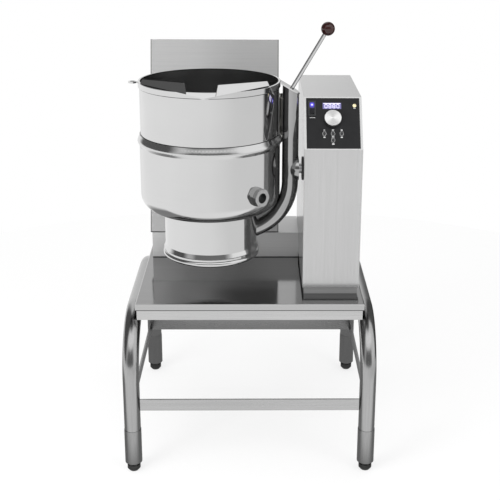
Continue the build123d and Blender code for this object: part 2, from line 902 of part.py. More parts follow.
def switch_bezel():
    """The switch's frame and body, with the pocket that the rocker tips in."""
    hole_width, hole_height = bezel_hole_size()
    body_depth = bezel_body_depth + overlay_thick
    lip = Pos(0, 0, overlay_thick + bezel_lip / 2) * Box(bezel_width, bezel_height, bezel_lip)
    lip = fillet(lip.faces().sort_by(Axis.Z)[-1].edges(), bezel_edge_r)
    body = Pos(0, 0, overlay_thick - body_depth / 2) * Box(
        hole_width - bezel_body_gap, hole_height - bezel_body_gap, body_depth
    )
    pocket_top = overlay_thick + bezel_lip + past
    pocket = Pos(0, 0, (pocket_top - rocker_pocket_depth) / 2) * Box(
        rocker_pocket_width, rocker_pocket_height, pocket_top + rocker_pocket_depth
    )
    pin_hole = Pos(0, 0, rocker_pin_w) * Rot(Y=90) * Cylinder(
        rocker_pin_r + running_clearance, rocker_pin_length + 2 * rocker_pin_end_gap
    )
    return control_face.location * Pos(rocker_u, rocker_v, 0) * (lip + body - pocket - pin_hole)


def power_rocker():
    """The rocker, lying in its ON position with the upper half pressed in."""
    end_r = rocker_pocket_height / 2 - rocker_end_gap
    crown = overlay_thick + bezel_lip - rocker_pin_w
    tip_v = end_r * cos(radians(rocker_tip_angle))
    tip_w = end_r * sin(radians(rocker_tip_angle))
    heel_w = -rocker_heel_depth
    heel_v = sqrt(end_r**2 - heel_w**2)
    outline = (
        Line((-heel_v, heel_w), (heel_v, heel_w))
        + ThreePointArc((heel_v, heel_w), (end_r, 0), (tip_v, tip_w))
        + Line((tip_v, tip_w), (0, crown))
        + Line((0, crown), (-tip_v, tip_w))
        + ThreePointArc((-tip_v, tip_w), (-end_r, 0), (-heel_v, heel_w))
    )
    width = rocker_pocket_width - 2 * rocker_side_gap
    section = Plane.YZ * make_face(outline)
    body = Pos(-width / 2, 0, 0) * extrude(section, width, dir=(1, 0, 0))
    pin = Rot(Y=90) * Cylinder(rocker_pin_r, rocker_pin_length)
    pivot = on_face(rocker_u, rocker_v, (rocker_pin_w, rocker_pin_w))
    return pivot * Rot(X=-rocker_throw / 2) * (body + pin)


def encoder_shaft():
    """The encoder's shaft, which turns with the knob."""
    span = (encoder_step - board_depth, overlay_thick + knob_gap + knob_bore_depth)
    return face_disc(knob_u, knob_v, encoder_shaft_d / 2, span)


def encoder_body():
    """The rotary encoder's case and bush, on the board."""
    shaft_r = encoder_shaft_d / 2
    case_top = encoder_case_height - board_depth
    bore_low = encoder_step - running_clearance - board_depth
    case = face_block(knob_u, knob_v, encoder_case, encoder_case, (-board_depth, case_top))
    bush = face_disc(knob_u, knob_v, shaft_r + encoder_bush_wall, (case_top, overlay_thick))
    bore_span = (bore_low, overlay_thick + past)
    return case + bush - face_disc(knob_u, knob_v, shaft_r + running_clearance, bore_span)


def control_knob():
    """The spun metal knob, hollow underneath round its hub."""
    low = overlay_thick + knob_gap
    high = low + knob_height
    roof = high - knob_roof
    body = upright(0, 0, (low, high), knob_d / 2)
    body = fillet(body.faces().sort_by(Axis.Z)[-1].edges(), knob_edge_r)
    body -= upright(0, 0, (low, roof), knob_d / 2 - knob_skirt_wall)
    body += upright(0, 0, (low, roof), encoder_shaft_d / 2 + knob_hub_wall)
    body -= upright(0, 0, (low, low + knob_bore_depth), encoder_shaft_d / 2)
    return control_face.location * Pos(knob_u, knob_v, 0) * body


def face_key(u, v):
    """An oval push key with the flange that keeps it behind the housing."""
    lips = 2 * key_flange_lip
    cap = face_slot(u, v, key_width, key_height, (-console_sheet, overlay_thick + key_proud))
    flange = face_slot(u, v, key_width + lips, key_height + lips, (-key_flange_depth, -console_sheet))
    return cap + flange


def key_switches():
    """The small switches on the board, one under each key."""
    span = (-board_depth, -key_flange_depth - key_travel - running_clearance)
    return [face_block(u, v, key_switch, key_switch, span) for u, v in key_places.values()]


def indicator_lamp():
    """The pilot lamp: a bezel ring, a domed lens and a body down to the board."""
    ring_top = overlay_thick + lamp_ring_proud
    dome_place = on_face(lamp_u, lamp_v, (ring_top, ring_top))
    body = face_disc(lamp_u, lamp_v, lamp_d / 2, (-board_depth, ring_top))
    ring = face_disc(lamp_u, lamp_v, lamp_d / 2 + lamp_ring_lip, (overlay_thick, ring_top))
    dome = dome_place * Sphere(lamp_d / 2 - lamp_dome_inset)
    below = face_disc(lamp_u, lamp_v, lamp_d, (ring_top - lamp_d, ring_top))
    return body + ring + (dome - below)


def board_outline():
    """The circuit board's middle, width and height on the control face."""
    right = console_width - board_right_inset
    high = slope_length - board_top_inset
    width = right - board_left_u
    height = high - board_low_v
    return (board_left_u + right) / 2, (board_low_v + high) / 2, width, height


def control_board():
    """The circuit board, parallel to the control face."""
    u, v, width, height = board_outline()
    return face_block(u, v, width, height, (-board_depth - board_sheet, -board_depth))


def board_posts():
    """The posts that hang the board from the housing."""
    u, v, width, height = board_outline()
    reach_u = width / 2 - board_post_inset
    reach_v = height / 2 - board_post_inset
    span = (-board_depth, -console_sheet)
    corners = [(u + side * reach_u, v + end * reach_v) for side in (-1, 1) for end in (-1, 1)]
    return [face_disc(post_u, post_v, board_post_r, span) for post_u, post_v in corners]


def din_rail():
    """The hat-section rail on the inside of the console's right-hand wall."""
    t = rail_sheet
    wall_x = rail_seat_x + rail_depth
    y_span = (rail_start_y, rail_start_y + rail_length)
    low = rail_z - rail_height / 2
    high = rail_z + rail_height / 2
    low_web = low + rail_brim
    high_web = high - rail_brim
    rail = block((wall_x - t, wall_x), y_span, (low_web, high_web))
    rail += block((rail_seat_x, wall_x), y_span, (low_web, low_web + t))
    rail += block((rail_seat_x, wall_x), y_span, (high_web - t, high_web))
    rail += block((rail_seat_x, rail_seat_x + t), y_span, (low, low_web))
    return rail + block((rail_seat_x, rail_seat_x + t), y_span, (high_web, high))


def contactor():
    """The power contactor, its terminals in two stepped rows."""
    y_span = (contactor_y, contactor_y + contactor_width)
    low = rail_z - contactor_height / 2
    high = rail_z + contactor_height / 2
    step = contactor_step
    face_x = rail_seat_x - contactor_depth * contactor_low_share
    screw_span = (face_x - past, face_x + contactor_screw_depth)
    case = block((rail_seat_x - contactor_depth, rail_seat_x), y_span, (low + step, high - step))
    case += block((face_x, rail_seat_x), y_span, (low, high))
    pitch = contactor_width / (contactor_poles + 1)
    for i in range(contactor_poles):
        y = contactor_y + pitch * (i + 1)
        for z in (low + step / 2, high - step / 2):
            case -= cross_rod(screw_span, y, z, contactor_screw_r)
    return case


def terminal_block():
    """The mains terminal strip, one clamp after another."""
    low = rail_z - terminal_height / 2
    high = rail_z + terminal_height / 2
    face_x = rail_seat_x - terminal_depth
    screw_span = (face_x - past, face_x + terminal_screw_depth)
    strip = block((face_x, rail_seat_x), (terminal_y, terminal_y + terminal_width), (low, high))
    pitch = terminal_width / terminal_ways
    for i in range(terminal_ways):
        y = terminal_y + pitch * (i + 0.5)
        for z in (low + terminal_screw_inset, high - terminal_screw_inset):
            strip -= cross_rod(screw_span, y, z, terminal_screw_r)
    for i in range(1, terminal_ways):
        slit_y = terminal_y + pitch * i - terminal_slit / 2
        slit_span = (slit_y, slit_y + terminal_slit)
        strip -= block((face_x, face_x + terminal_slit_depth), slit_span, (low, high))
    return strip


def cable_gland():
    """The supply cable's gland in the back cover: nut, hexagon and domed clamp nut."""
    place = Pos(console_middle_x, console_back_y, gland_z) * Rot(X=-90)
    hex_end = cover_sheet + gland_hex_thick
    dome_end = hex_end + gland_dome_length
    nut = place * Pos(0, 0, -gland_nut_thick) * extrude(hexagon(gland_hex_flats), gland_nut_thick)
    neck = along(place, gland_thread_r, (-gland_nut_thick, hex_end))
    base = place * Pos(0, 0, cover_sheet) * extrude(hexagon(gland_hex_flats), gland_hex_thick)
    dome = along(place, gland_dome_r, (hex_end, dome_end))
    dome = fillet(dome.faces().sort_by(Axis.Y)[-1].edges(), gland_dome_edge_r)
    bore = along(place, gland_bore_r, (-gland_nut_thick - past, dome_end + past))
    return nut + neck + base + dome - bore


# ------------------------------------------------------------------ trunnion inside the console


def bearing_bracket():
    """The welded stand inside the console that carries both bearings."""
    t = bracket_plate
    floor_z = console_base_z + console_sheet
    under_z = bracket_top_z - t
    reach_x = bearing_width / 2 + bracket_overhang
    span_x = (bearing_near_x - reach_x, bearing_far_x + reach_x)
    half = bracket_side_gap / 2
    spread = half + t + bracket_overhang
    top = block(span_x, (kettle_y - spread, kettle_y + spread), (under_z, bracket_top_z))
    front = block(span_x, (kettle_y - half, kettle_y - half + t), (floor_z + t, under_z))
    rear = block(span_x, (kettle_y + half - t, kettle_y + half), (floor_z + t, under_z))
    base = block(span_x, (kettle_y - half, kettle_y + half), (floor_z, floor_z + t))
    window = block(
        (bearing_near_x + bearing_width, bearing_far_x - bearing_width),
        (kettle_y - stop_arm_length, kettle_y + stop_arm_length),
        (under_z, bracket_top_z),
    )
    return top + front + rear + base - window


def trunnion_bearing(x):
    """A pillow block: a foot with a round cap over the shaft."""
    span_x = (x - bearing_width / 2, x + bearing_width / 2)
    foot_y = (kettle_y - bearing_foot / 2, kettle_y + bearing_foot / 2)
    cap_y = (kettle_y - bearing_cap_r, kettle_y + bearing_cap_r)
    foot = block(span_x, foot_y, (bracket_top_z, bracket_top_z + bearing_foot_height))
    cheek = block(span_x, cap_y, (bracket_top_z, trunnion_z))
    cap = cross_rod(span_x, kettle_y, trunnion_z, bearing_cap_r)
    bore = cross_rod(span_x, kettle_y, trunnion_z, shaft_d / 2 + running_clearance)
    return foot + cheek + cap - bore


def bearing_bolts():
    """Hexagon bolts that hold the pillow blocks to the bracket."""
    seat_z = bracket_top_z + bearing_foot_height
    reach = bearing_foot / 2 - bearing_bolt_inset
    bolts = []
    for x in (bearing_near_x, bearing_far_x):
        for side in (-1, 1):
            head = extrude(hexagon(bearing_bolt_flats), bearing_bolt_height)
            bolts.append(Pos(x, kettle_y + side * reach, seat_z) * head)
    return bolts


def stop_arm():
    """The arm on the shaft that meets the stop blocks upright and at a quarter turn."""
    half = stop_arm_thick / 2
    span_x = (stop_middle_x - half, stop_middle_x + half)
    hub = cross_rod(span_x, kettle_y, trunnion_z, stop_hub_r)
    arm = block(
        span_x,
        (kettle_y - stop_arm_width / 2, kettle_y + stop_arm_width / 2),
        (trunnion_z - stop_arm_length, trunnion_z),
    )
    return hub + arm - cross_rod(span_x, kettle_y, trunnion_z, shaft_d / 2)


def stop_blocks():
    """Two blocks on the bracket: one ahead of the hanging arm, one above the turned arm."""
    half = stop_arm_thick / 2
    side = stop_arm_width / 2
    span_x = (stop_middle_x - half, stop_middle_x + half)
    rest_block = block(
        (span_x[0] - stop_block_lap, span_x[1] + stop_block_lap),
        (kettle_y - side - stop_block_depth, kettle_y - side),
        (bracket_top_z - bracket_plate, bracket_top_z + stop_block_height),
    )
    post_y = kettle_y + stop_arm_length + stop_post_gap
    high_z = trunnion_z + side + stop_block_height
    post = block(span_x, (post_y, post_y + stop_block_depth), (bracket_top_z, high_z))
    nose = block(
        span_x,
        (kettle_y + stop_hub_r + stop_nose_gap, post_y),
        (trunnion_z + side + loose_clearance, high_z),
    )
    return [rest_block, post + nose]


def shaft_collar():
    """The clamp collar that keeps the shaft from sliding out of its near bearing."""
    start = bearing_near_x + bearing_width / 2 + loose_clearance
    span = (start, start + collar_width)
    ring = cross_rod(span, kettle_y, trunnion_z, collar_outer_r)
    return ring - cross_rod(span, kettle_y, trunnion_z, shaft_d / 2)


def trunnion_shaft():
    """The hollow shaft that the kettle turns on; its wires run through it."""
    span = (boss_face_x, shaft_end_x)
    bar = cross_rod(span, kettle_y, trunnion_z, shaft_d / 2)
    return bar - cross_rod(span, kettle_y, trunnion_z, shaft_bore_d / 2)


def shaft_seal():
    """The black collar round the shaft on the console's side."""
    collar = cross_rod((seal_face_x, console_left_x), kettle_y, trunnion_z, seal_outer_r)
    collar = fillet(collar.faces().sort_by(Axis.X)[0].edges(), seal_edge_r)
    spigot_end = console_left_x + seal_spigot_length
    spigot = cross_rod((console_left_x, spigot_end), kettle_y, trunnion_z, seal_lip_r)
    bore_span = (seal_face_x - past, spigot_end + past)
    bore = cross_rod(bore_span, kettle_y, trunnion_z, shaft_d / 2 + loose_clearance)
    return collar + spigot - bore


# ------------------------------------------------------------------ kettle


def bowl():
    """The inner vessel: a straight wall over a round bottom."""
    top_z = rim_top_z - rim_cap
    inner_r = bowl_outer_r - bowl_wall
    half_turn = radians(45)
    section = (
        Line((bowl_outer_r, bowl_bend_z), (bowl_outer_r, top_z))
        + Line((bowl_outer_r, top_z), (inner_r, top_z))
        + Line((inner_r, top_z), (inner_r, bowl_bend_z))
        + ThreePointArc(
            (inner_r, bowl_bend_z),
            (inner_r * cos(half_turn), bowl_bend_z - inner_r * sin(half_turn)),
            (0, bowl_bend_z - inner_r),
        )
        + Line((0, bowl_bend_z - inner_r), (0, bowl_bend_z - bowl_outer_r))
        + ThreePointArc(
            (0, bowl_bend_z - bowl_outer_r),
            (bowl_outer_r * cos(half_turn), bowl_bend_z - bowl_outer_r * sin(half_turn)),
            (bowl_outer_r, bowl_bend_z),
        )
    )
    return kettle_axis * revolve(Plane.XZ * make_face(section), Axis.Z, 360)


def rim_ring():
    """The reinforcing bar round the bowl's mouth."""
    inner_r = bowl_outer_r - bowl_wall
    low_z = rim_top_z - rim_height
    ring = spun(
        [
            (inner_r, rim_top_z),
            (rim_outer_r, rim_top_z),
            (rim_outer_r, low_z),
            (bowl_outer_r, low_z),
            (bowl_outer_r, rim_top_z - rim_cap),
            (inner_r, rim_top_z - rim_cap),
        ]
    )
    outer_edges = ring.edges().filter_by(GeomType.CIRCLE).group_by(SortBy.RADIUS)[-1]
    return fillet(outer_edges, rim_edge_r)


def rim_cutter():
    """A full bar of the rim's outer size, used to cope what is welded to the rim."""
    return upright(kettle_x, kettle_y, (bowl_bend_z, rim_top_z + rim_height), rim_outer_r)


def pouring_beak():
    """The flat beak in front of the rim, pointed in plan."""
    low_z = rim_top_z - beak_thick
    left_root = (-beak_root_x, -beak_root_y)
    right_root = (beak_root_x, -beak_root_y)
    wedge = make_face(Polyline(left_root, (0, -beak_tip_reach), right_root, close=True))
    plate = kettle_axis * Pos(0, 0, low_z) * extrude(wedge, beak_thick)
    beak = (plate - rim_cutter()).solids().sort_by(Axis.Y)[0]
    tip_edge = beak.edges().filter_by(Axis.Z).sort_by(Axis.Y)[:1]
    return fillet(tip_edge, beak_nose_r)


def guard_plate(side, start, end):
    """An upright plate on one edge of the beak, lower at the back and cut back at the front."""
    slope = (guard_front_height - guard_rear_height) / (end - start - guard_front_slant)
    outline = make_face(
        Polyline(
            (start, 0),
            (end, 0),
            (end - guard_front_slant, guard_front_height),
            (start + guard_rear_slant, guard_rear_height + guard_rear_slant * slope),
            close=True,
        )
    )
    plate = extrude(outline, guard_thick)
    corner = plate.edges().filter_by(Axis.Z).sort_by(Axis.Y)[-1:]
    plate = fillet(corner, guard_corner_r)
    upright_plate = Rot(X=90) * plate
    beak_side = block((start - end, end + end), (-end, end), (-end, 0))
    if side < 0:
        leaned = Rot(X=-guard_lean) * Pos(0, guard_thick, 0) * upright_plate
        turned = Rot(Z=-beak_edge_angle) * (leaned - beak_side)
    else:
        turned = Rot(Z=180 + beak_edge_angle) * (Rot(X=guard_lean) * upright_plate - beak_side)
    return kettle_axis * Pos(side * beak_root_x, -beak_root_y, rim_top_z) * turned


def rim_eye():
    """The small eye on the rim's left, for a lid's chain or hinge."""
    middle_x = kettle_x - rim_outer_r - eye_reach
    low_z = eye_z - eye_thick / 2
    span = (low_z, low_z + eye_thick)
    ring = upright(middle_x, kettle_y, span, eye_outer_d / 2)
    half_neck = eye_neck_width / 2
    neck_x = (middle_x, kettle_x - rim_outer_r + eye_neck_lap)
    neck = block(neck_x, (kettle_y - half_neck, kettle_y + half_neck), span)
    return ring + neck - upright(middle_x, kettle_y, span, eye_bore_d / 2) - rim_cutter()


def steam_jacket():
    """The outer shell round the bowl's lower part, with the sight glass's boss welded in."""
    inner_r = jacket_outer_r - jacket_wall
    knuckle_z = jacket_bottom_z + jacket_knuckle_r
    knuckle_x = jacket_outer_r - jacket_knuckle_r
    inner_knuckle_r = jacket_knuckle_r - jacket_wall
    open_r = drum_outer_r - drum_wall
    slant = sqrt(0.5)
    section = (
        Line((inner_r, seam_bottom_z), (jacket_outer_r, seam_bottom_z))
        + Line((jacket_outer_r, seam_bottom_z), (jacket_outer_r, knuckle_z))
        + ThreePointArc(
            (jacket_outer_r, knuckle_z),
            (knuckle_x + jacket_knuckle_r * slant, knuckle_z - jacket_knuckle_r * slant),
            (knuckle_x, jacket_bottom_z),
        )
        + Line((knuckle_x, jacket_bottom_z), (open_r, jacket_bottom_z))
        + Line((open_r, jacket_bottom_z), (open_r, jacket_bottom_z + jacket_wall))
        + Line((open_r, jacket_bottom_z + jacket_wall), (knuckle_x, jacket_bottom_z + jacket_wall))
        + ThreePointArc(
            (knuckle_x, jacket_bottom_z + jacket_wall),
            (knuckle_x + inner_knuckle_r * slant, knuckle_z - inner_knuckle_r * slant),
            (inner_r, knuckle_z),
        )
        + Line((inner_r, knuckle_z), (inner_r, seam_bottom_z))
    )
    shell = kettle_axis * revolve(Plane.XZ * make_face(section), Axis.Z, 360)
    boss_span = (jacket_outer_r - sight_boss_sunk, jacket_outer_r + sight_boss_proud)
    shell += along(sight_place, sight_boss_r, boss_span)
    hole_span = (boss_span[0] - past, boss_span[1] + past)
    shell -= along(sight_place, sight_boss_bore_r, hole_span)
    return shell - along(valve_place, valve_nipple_r, hole_span)


def jacket_seam():
    """The rounded band that closes the jacket's top against the bowl."""
    foot = (jacket_outer_r, seam_bottom_z)
    swell = (seam_outer_r, seam_bottom_z + seam_swell_height)
    top = (bowl_outer_r + seam_top_width, seam_top_z)
    section = (
        Line((bowl_outer_r, seam_bottom_z), foot)
        + Spline(foot, swell, top, tangents=[(0.4, 1), (-0.35, 1)])
        + Line(top, (bowl_outer_r, seam_top_z))
        + Line((bowl_outer_r, seam_top_z), (bowl_outer_r, seam_bottom_z))
    )
    return kettle_axis * revolve(Plane.XZ * make_face(section), Axis.Z, 360)


def element_drum():
    """The lower drum that holds the water and the heating elements."""
    inner_r = drum_outer_r - drum_wall
    span = (drum_bottom_z, jacket_bottom_z)
    drum = upright(kettle_x, kettle_y, span, drum_outer_r)
    return drum - upright(kettle_x, kettle_y, span, inner_r)


def base_ring():
    """The moulded ring under the drum: a flare, a groove and a round bead."""
    bead_r = drum_outer_r + base_bead_lip
    groove_r = drum_outer_r + base_groove_lip
    bead_top_z = base_bottom_z + base_bead_height
    bead_foot = (bead_r - base_bead_turn_in, base_bottom_z)
    bead_top = (groove_r, bead_top_z)
    groove_top = (groove_r, bead_top_z + base_groove_height)
    flare = (drum_outer_r + base_flare_lip, bead_top_z + base_flare_step)
    neck = (drum_outer_r, drum_bottom_z)
    section = (
        Line((base_inner_r, base_bottom_z), bead_foot)
        + ThreePointArc(bead_foot, (bead_r, base_bottom_z + base_bead_height / 2), bead_top)
        + Line(bead_top, groove_top)
        + Line(groove_top, flare)
        + Line(flare, neck)
        + Line(neck, (base_inner_r, drum_bottom_z))
        + Line((base_inner_r, drum_bottom_z), (base_inner_r, base_bottom_z))
    )
    return kettle_axis * revolve(Plane.XZ * make_face(section), Axis.Z, 360)


def base_cover():
    """The round plate that closes the wiring space under the drum."""
    low = base_bottom_z + base_cover_rise
    return upright(kettle_x, kettle_y, (low, low + base_cover_sheet), base_inner_r)


def sump_plate():
    """The thick plate in the drum's foot that the elements pass through."""
    plate = upright(
        kettle_x,
        kettle_y,
        (drum_bottom_z, drum_bottom_z + sump_plate_thick),
        drum_outer_r - drum_wall,
    )
    for element in heating_elements():
        plate -= element
    for probe in water_probes():
        plate -= probe
    return plate


def element_turns():
    return [360.0 / element_count * i + 90 for i in range(element_count)]


def heating_elements():
    """Hairpin elements that stand up from the sump plate, their ends below it."""
    low = drum_bottom_z - element_tail
    high = drum_bottom_z + sump_plate_thick + element_height
    half = element_span / 2
    corners = [(-half, 0, low), (-half, 0, high), (half, 0, high), (half, 0, low)]
    path = FilletPolyline(*corners, radius=half * element_bend_share)
    start = Plane(origin=(-half, 0, low), z_dir=(0, 0, 1))
    hairpin = sweep(start * Circle(element_d / 2), path=path)
    places = []
    for turn in element_turns():
        places.append(kettle_axis * Rot(Z=turn) * Pos(0, element_ring_r, 0) * hairpin)
    return places


def water_probes():
    """The low-water probe and the thermostat's pocket."""
    low = drum_bottom_z - probe_tail
    span = (low, low + probe_length)
    columns = (kettle_x - probe_offset, kettle_x + probe_offset)
    return [upright(x, kettle_y, span, probe_d / 2) for x in columns]


# ------------------------------------------------------------------ carrier tube and lever


def carrier_end():
    """Where the carrier tube's bend ends, and how it heads on."""
    angle = radians(carrier_bend_angle)
    bend_x = carrier_x - carrier_bend_r
    x = bend_x + carrier_bend_r * cos(angle)
    z = carrier_bend_z - carrier_bend_r * sin(angle)
    return (x, z), (-sin(angle), -cos(angle))


def carrier_path(top_z):
    """The carrier tube's centreline, from its top to inside the drum."""
    (end_x, end_z), (step_x, step_z) = carrier_end()
    half = radians(carrier_bend_angle / 2)
    bend_x = carrier_x - carrier_bend_r
    mid_z = carrier_bend_z - carrier_bend_r * sin(half)
    top = (carrier_x, kettle_y, top_z)
    bend_start = (carrier_x, kettle_y, carrier_bend_z)
    mid = (bend_x + carrier_bend_r * cos(half), kettle_y, mid_z)
    bend_end = (end_x, kettle_y, end_z)
    run_end = (end_x + step_x * carrier_run_on, kettle_y, end_z + step_z * carrier_run_on)
    return Line(top, bend_start) + ThreePointArc(bend_start, mid, bend_end) + Line(bend_end, run_end)


def carrier_sweep(sketch):
    """A sketch swept along the whole of the carrier tube's line."""
    top_z = rim_top_z + carrier_tube_r
    start = Plane(origin=(carrier_x, kettle_y, top_z), z_dir=(0, 0, -1))
    return sweep(start * sketch, path=carrier_path(top_z))


def cap_slab(top_offset, thickness):
    """A wide slab parallel to the cap plate, its upper face that far above the plate's."""
    reach = 2 * rim_outer_r
    slab = Pos(0, 0, top_offset - thickness / 2) * Box(reach, reach, thickness)
    return Pos(cap_edge_x, kettle_y, cap_edge_z) * Rot(Y=cap_slant) * slab


def carrier_tube():
    """The polished tube from the lever down and round under the jacket to the drum."""
    tube = carrier_sweep(Circle(carrier_tube_r) - Circle(carrier_tube_r - carrier_tube_wall))
    tube -= cap_slab(rim_outer_r - cap_thick, rim_outer_r)
    drum_bar = upright(kettle_x, kettle_y, (base_bottom_z, jacket_bottom_z), drum_outer_r)
    return (tube - drum_bar).solids().sort_by(SortBy.VOLUME)[-1]


def lever_bar(start, end, radius):
    """A round bar on the lever's line, between two distances from its foot."""
    place = Pos(lever_foot_x, kettle_y, lever_foot_z) * Rot(Y=90 - lever_angle)
    return along(place, radius, (start, end))


def rim_bracket():
    """The sloping cap plate that closes the tube and ties it to the rim."""
    edge_r = carrier_tube_r + cap_overhang
    span_z = (seam_top_z, rim_top_z + carrier_tube_r)
    column = upright(carrier_x, kettle_y, span_z, edge_r)
    bridge_x = (kettle_x + rim_outer_r - cap_bridge_lap, carrier_x)
    bridge = block(bridge_x, (kettle_y - edge_r, kettle_y + edge_r), span_z)
    plate = (column + bridge) & cap_slab(0, cap_thick)
    plate = plate - rim_cutter() - lever_bar(-lever_root, lever_length / 2, lever_d / 2)
    return plate.solids().sort_by(SortBy.VOLUME)[-1]


def lever_rod():
    """The tilting lever's rod, welded through the cap plate."""
    return lever_bar(-lever_root, lever_length - ball_d / 2 + ball_socket_depth, lever_d / 2)


def lever_ball():
    """The ball grip on the lever's end."""
    ball = Pos(ball_x, kettle_y, ball_z) * Sphere(ball_d / 2)
    return ball - lever_rod()


def trunnion_boss():
    """The round boss welded over the carrier tube, with a dished face round the shaft."""
    ball = Pos(boss_face_x, kettle_y, trunnion_z) * Sphere(boss_r)
    beyond = cross_rod((boss_face_x, boss_face_x + 2 * boss_r), kettle_y, trunnion_z, 2 * boss_r)
    dish_span = (boss_face_x - boss_recess_depth, boss_face_x + past)
    dish = cross_rod(dish_span, kettle_y, trunnion_z, boss_recess_outer_r)
    dish -= cross_rod(dish_span, kettle_y, trunnion_z, boss_hub_r)
    bar = carrier_sweep(Circle(carrier_tube_r))
    return (ball - beyond - dish - bar).solids().sort_by(SortBy.VOLUME)[-1]


# ------------------------------------------------------------------ sight glass and relief valve


def sight_nut():
    """The hexagon ring that clamps the sight glass, its corners turned down."""
    start = jacket_outer_r + sight_boss_proud
    end = start + sight_nut_thick
    nut = sight_place * Pos(0, 0, start) * extrude(hexagon(sight_nut_flats), sight_nut_thick)
    round_bar = along(sight_place, sight_nut_flats / 2 * sight_nut_round, (start, end))
    return (nut & round_bar) - along(sight_place, sight_nut_bore_r, (start - past, end + past))


def sight_lens():
    """The thick glass disc behind the nut."""
    face = jacket_outer_r + sight_boss_proud
    return along(sight_place, sight_boss_bore_r - running_clearance, (face - sight_lens_thick, face))


def relief_nipple():
    """The short pipe and elbow that lift the relief valve clear of the wall."""
    pipe = along(valve_place, valve_nipple_r, (jacket_outer_r - jacket_wall, valve_reach))
    elbow = Pos(valve_x, valve_y, valve_z) * Sphere(valve_elbow_r)
    neck = upright(valve_x, valve_y, (valve_z, valve_nut_low_z), valve_nipple_r)
    return pipe + elbow + neck


def relief_valve():
    """The spring-loaded relief valve's body, with the ears that hold its test lever."""
    nut = Pos(valve_x, valve_y, valve_nut_low_z) * extrude(hexagon(valve_nut_flats), valve_nut_height)
    body = upright(valve_x, valve_y, (valve_nut_top_z, valve_body_top_z), valve_body_r)
    body = fillet(body.faces().sort_by(Axis.Z)[-1].edges(), valve_body_edge_r)
    outlet_place = Pos(valve_x, valve_y, valve_nut_top_z + valve_outlet_rise)
    outlet_place = outlet_place * Rot(Z=valve_angle) * Rot(Y=90)
    outlet = along(outlet_place, valve_outlet_r, (0, valve_outlet_length))
    hole_start = valve_outlet_length - valve_outlet_bore_depth
    hole = along(outlet_place, valve_outlet_bore_r, (hole_start, valve_outlet_length + past))
    ear_width = valve_lever_width + 2 * valve_ear_wall
    slot_width = valve_lever_width + 2 * loose_clearance
    ear_middle = valve_ear_height / 2 - valve_ear_sunk - valve_lever_rise
    ears = lever_hinge * Pos(0, 0, ear_middle) * Box(valve_ear_length, ear_width, valve_ear_height)
    slot = lever_hinge * Box(valve_ear_length + 2 * past, slot_width, 2 * valve_lever_rise)
    pin = lever_hinge * Rot(X=90) * Cylinder(valve_pin_r, ear_width)
    return nut + body + outlet - hole + (ears - slot) + pin


def relief_lever():
    """The valve's test lever, hinged on the pin between the ears."""
    half = valve_lever_length / 2
    strip = Box(valve_lever_length, valve_lever_width, valve_lever_thick)
    knuckle = Rot(X=90) * Cylinder(valve_pin_r + valve_knuckle_wall, valve_lever_width)
    bore = Rot(X=90) * Cylinder(valve_pin_r + running_clearance, valve_lever_width + 2 * past)
    return lever_hinge * (Pos(half, 0, 0) * strip + knuckle - bore)


def relief_stem():
    """The short stem between the valve and its test lever."""
    top = valve_body_top_z + valve_lever_rise - valve_lever_thick / 2
    return upright(valve_x, valve_y, (valve_body_top_z, top), valve_stem_r)


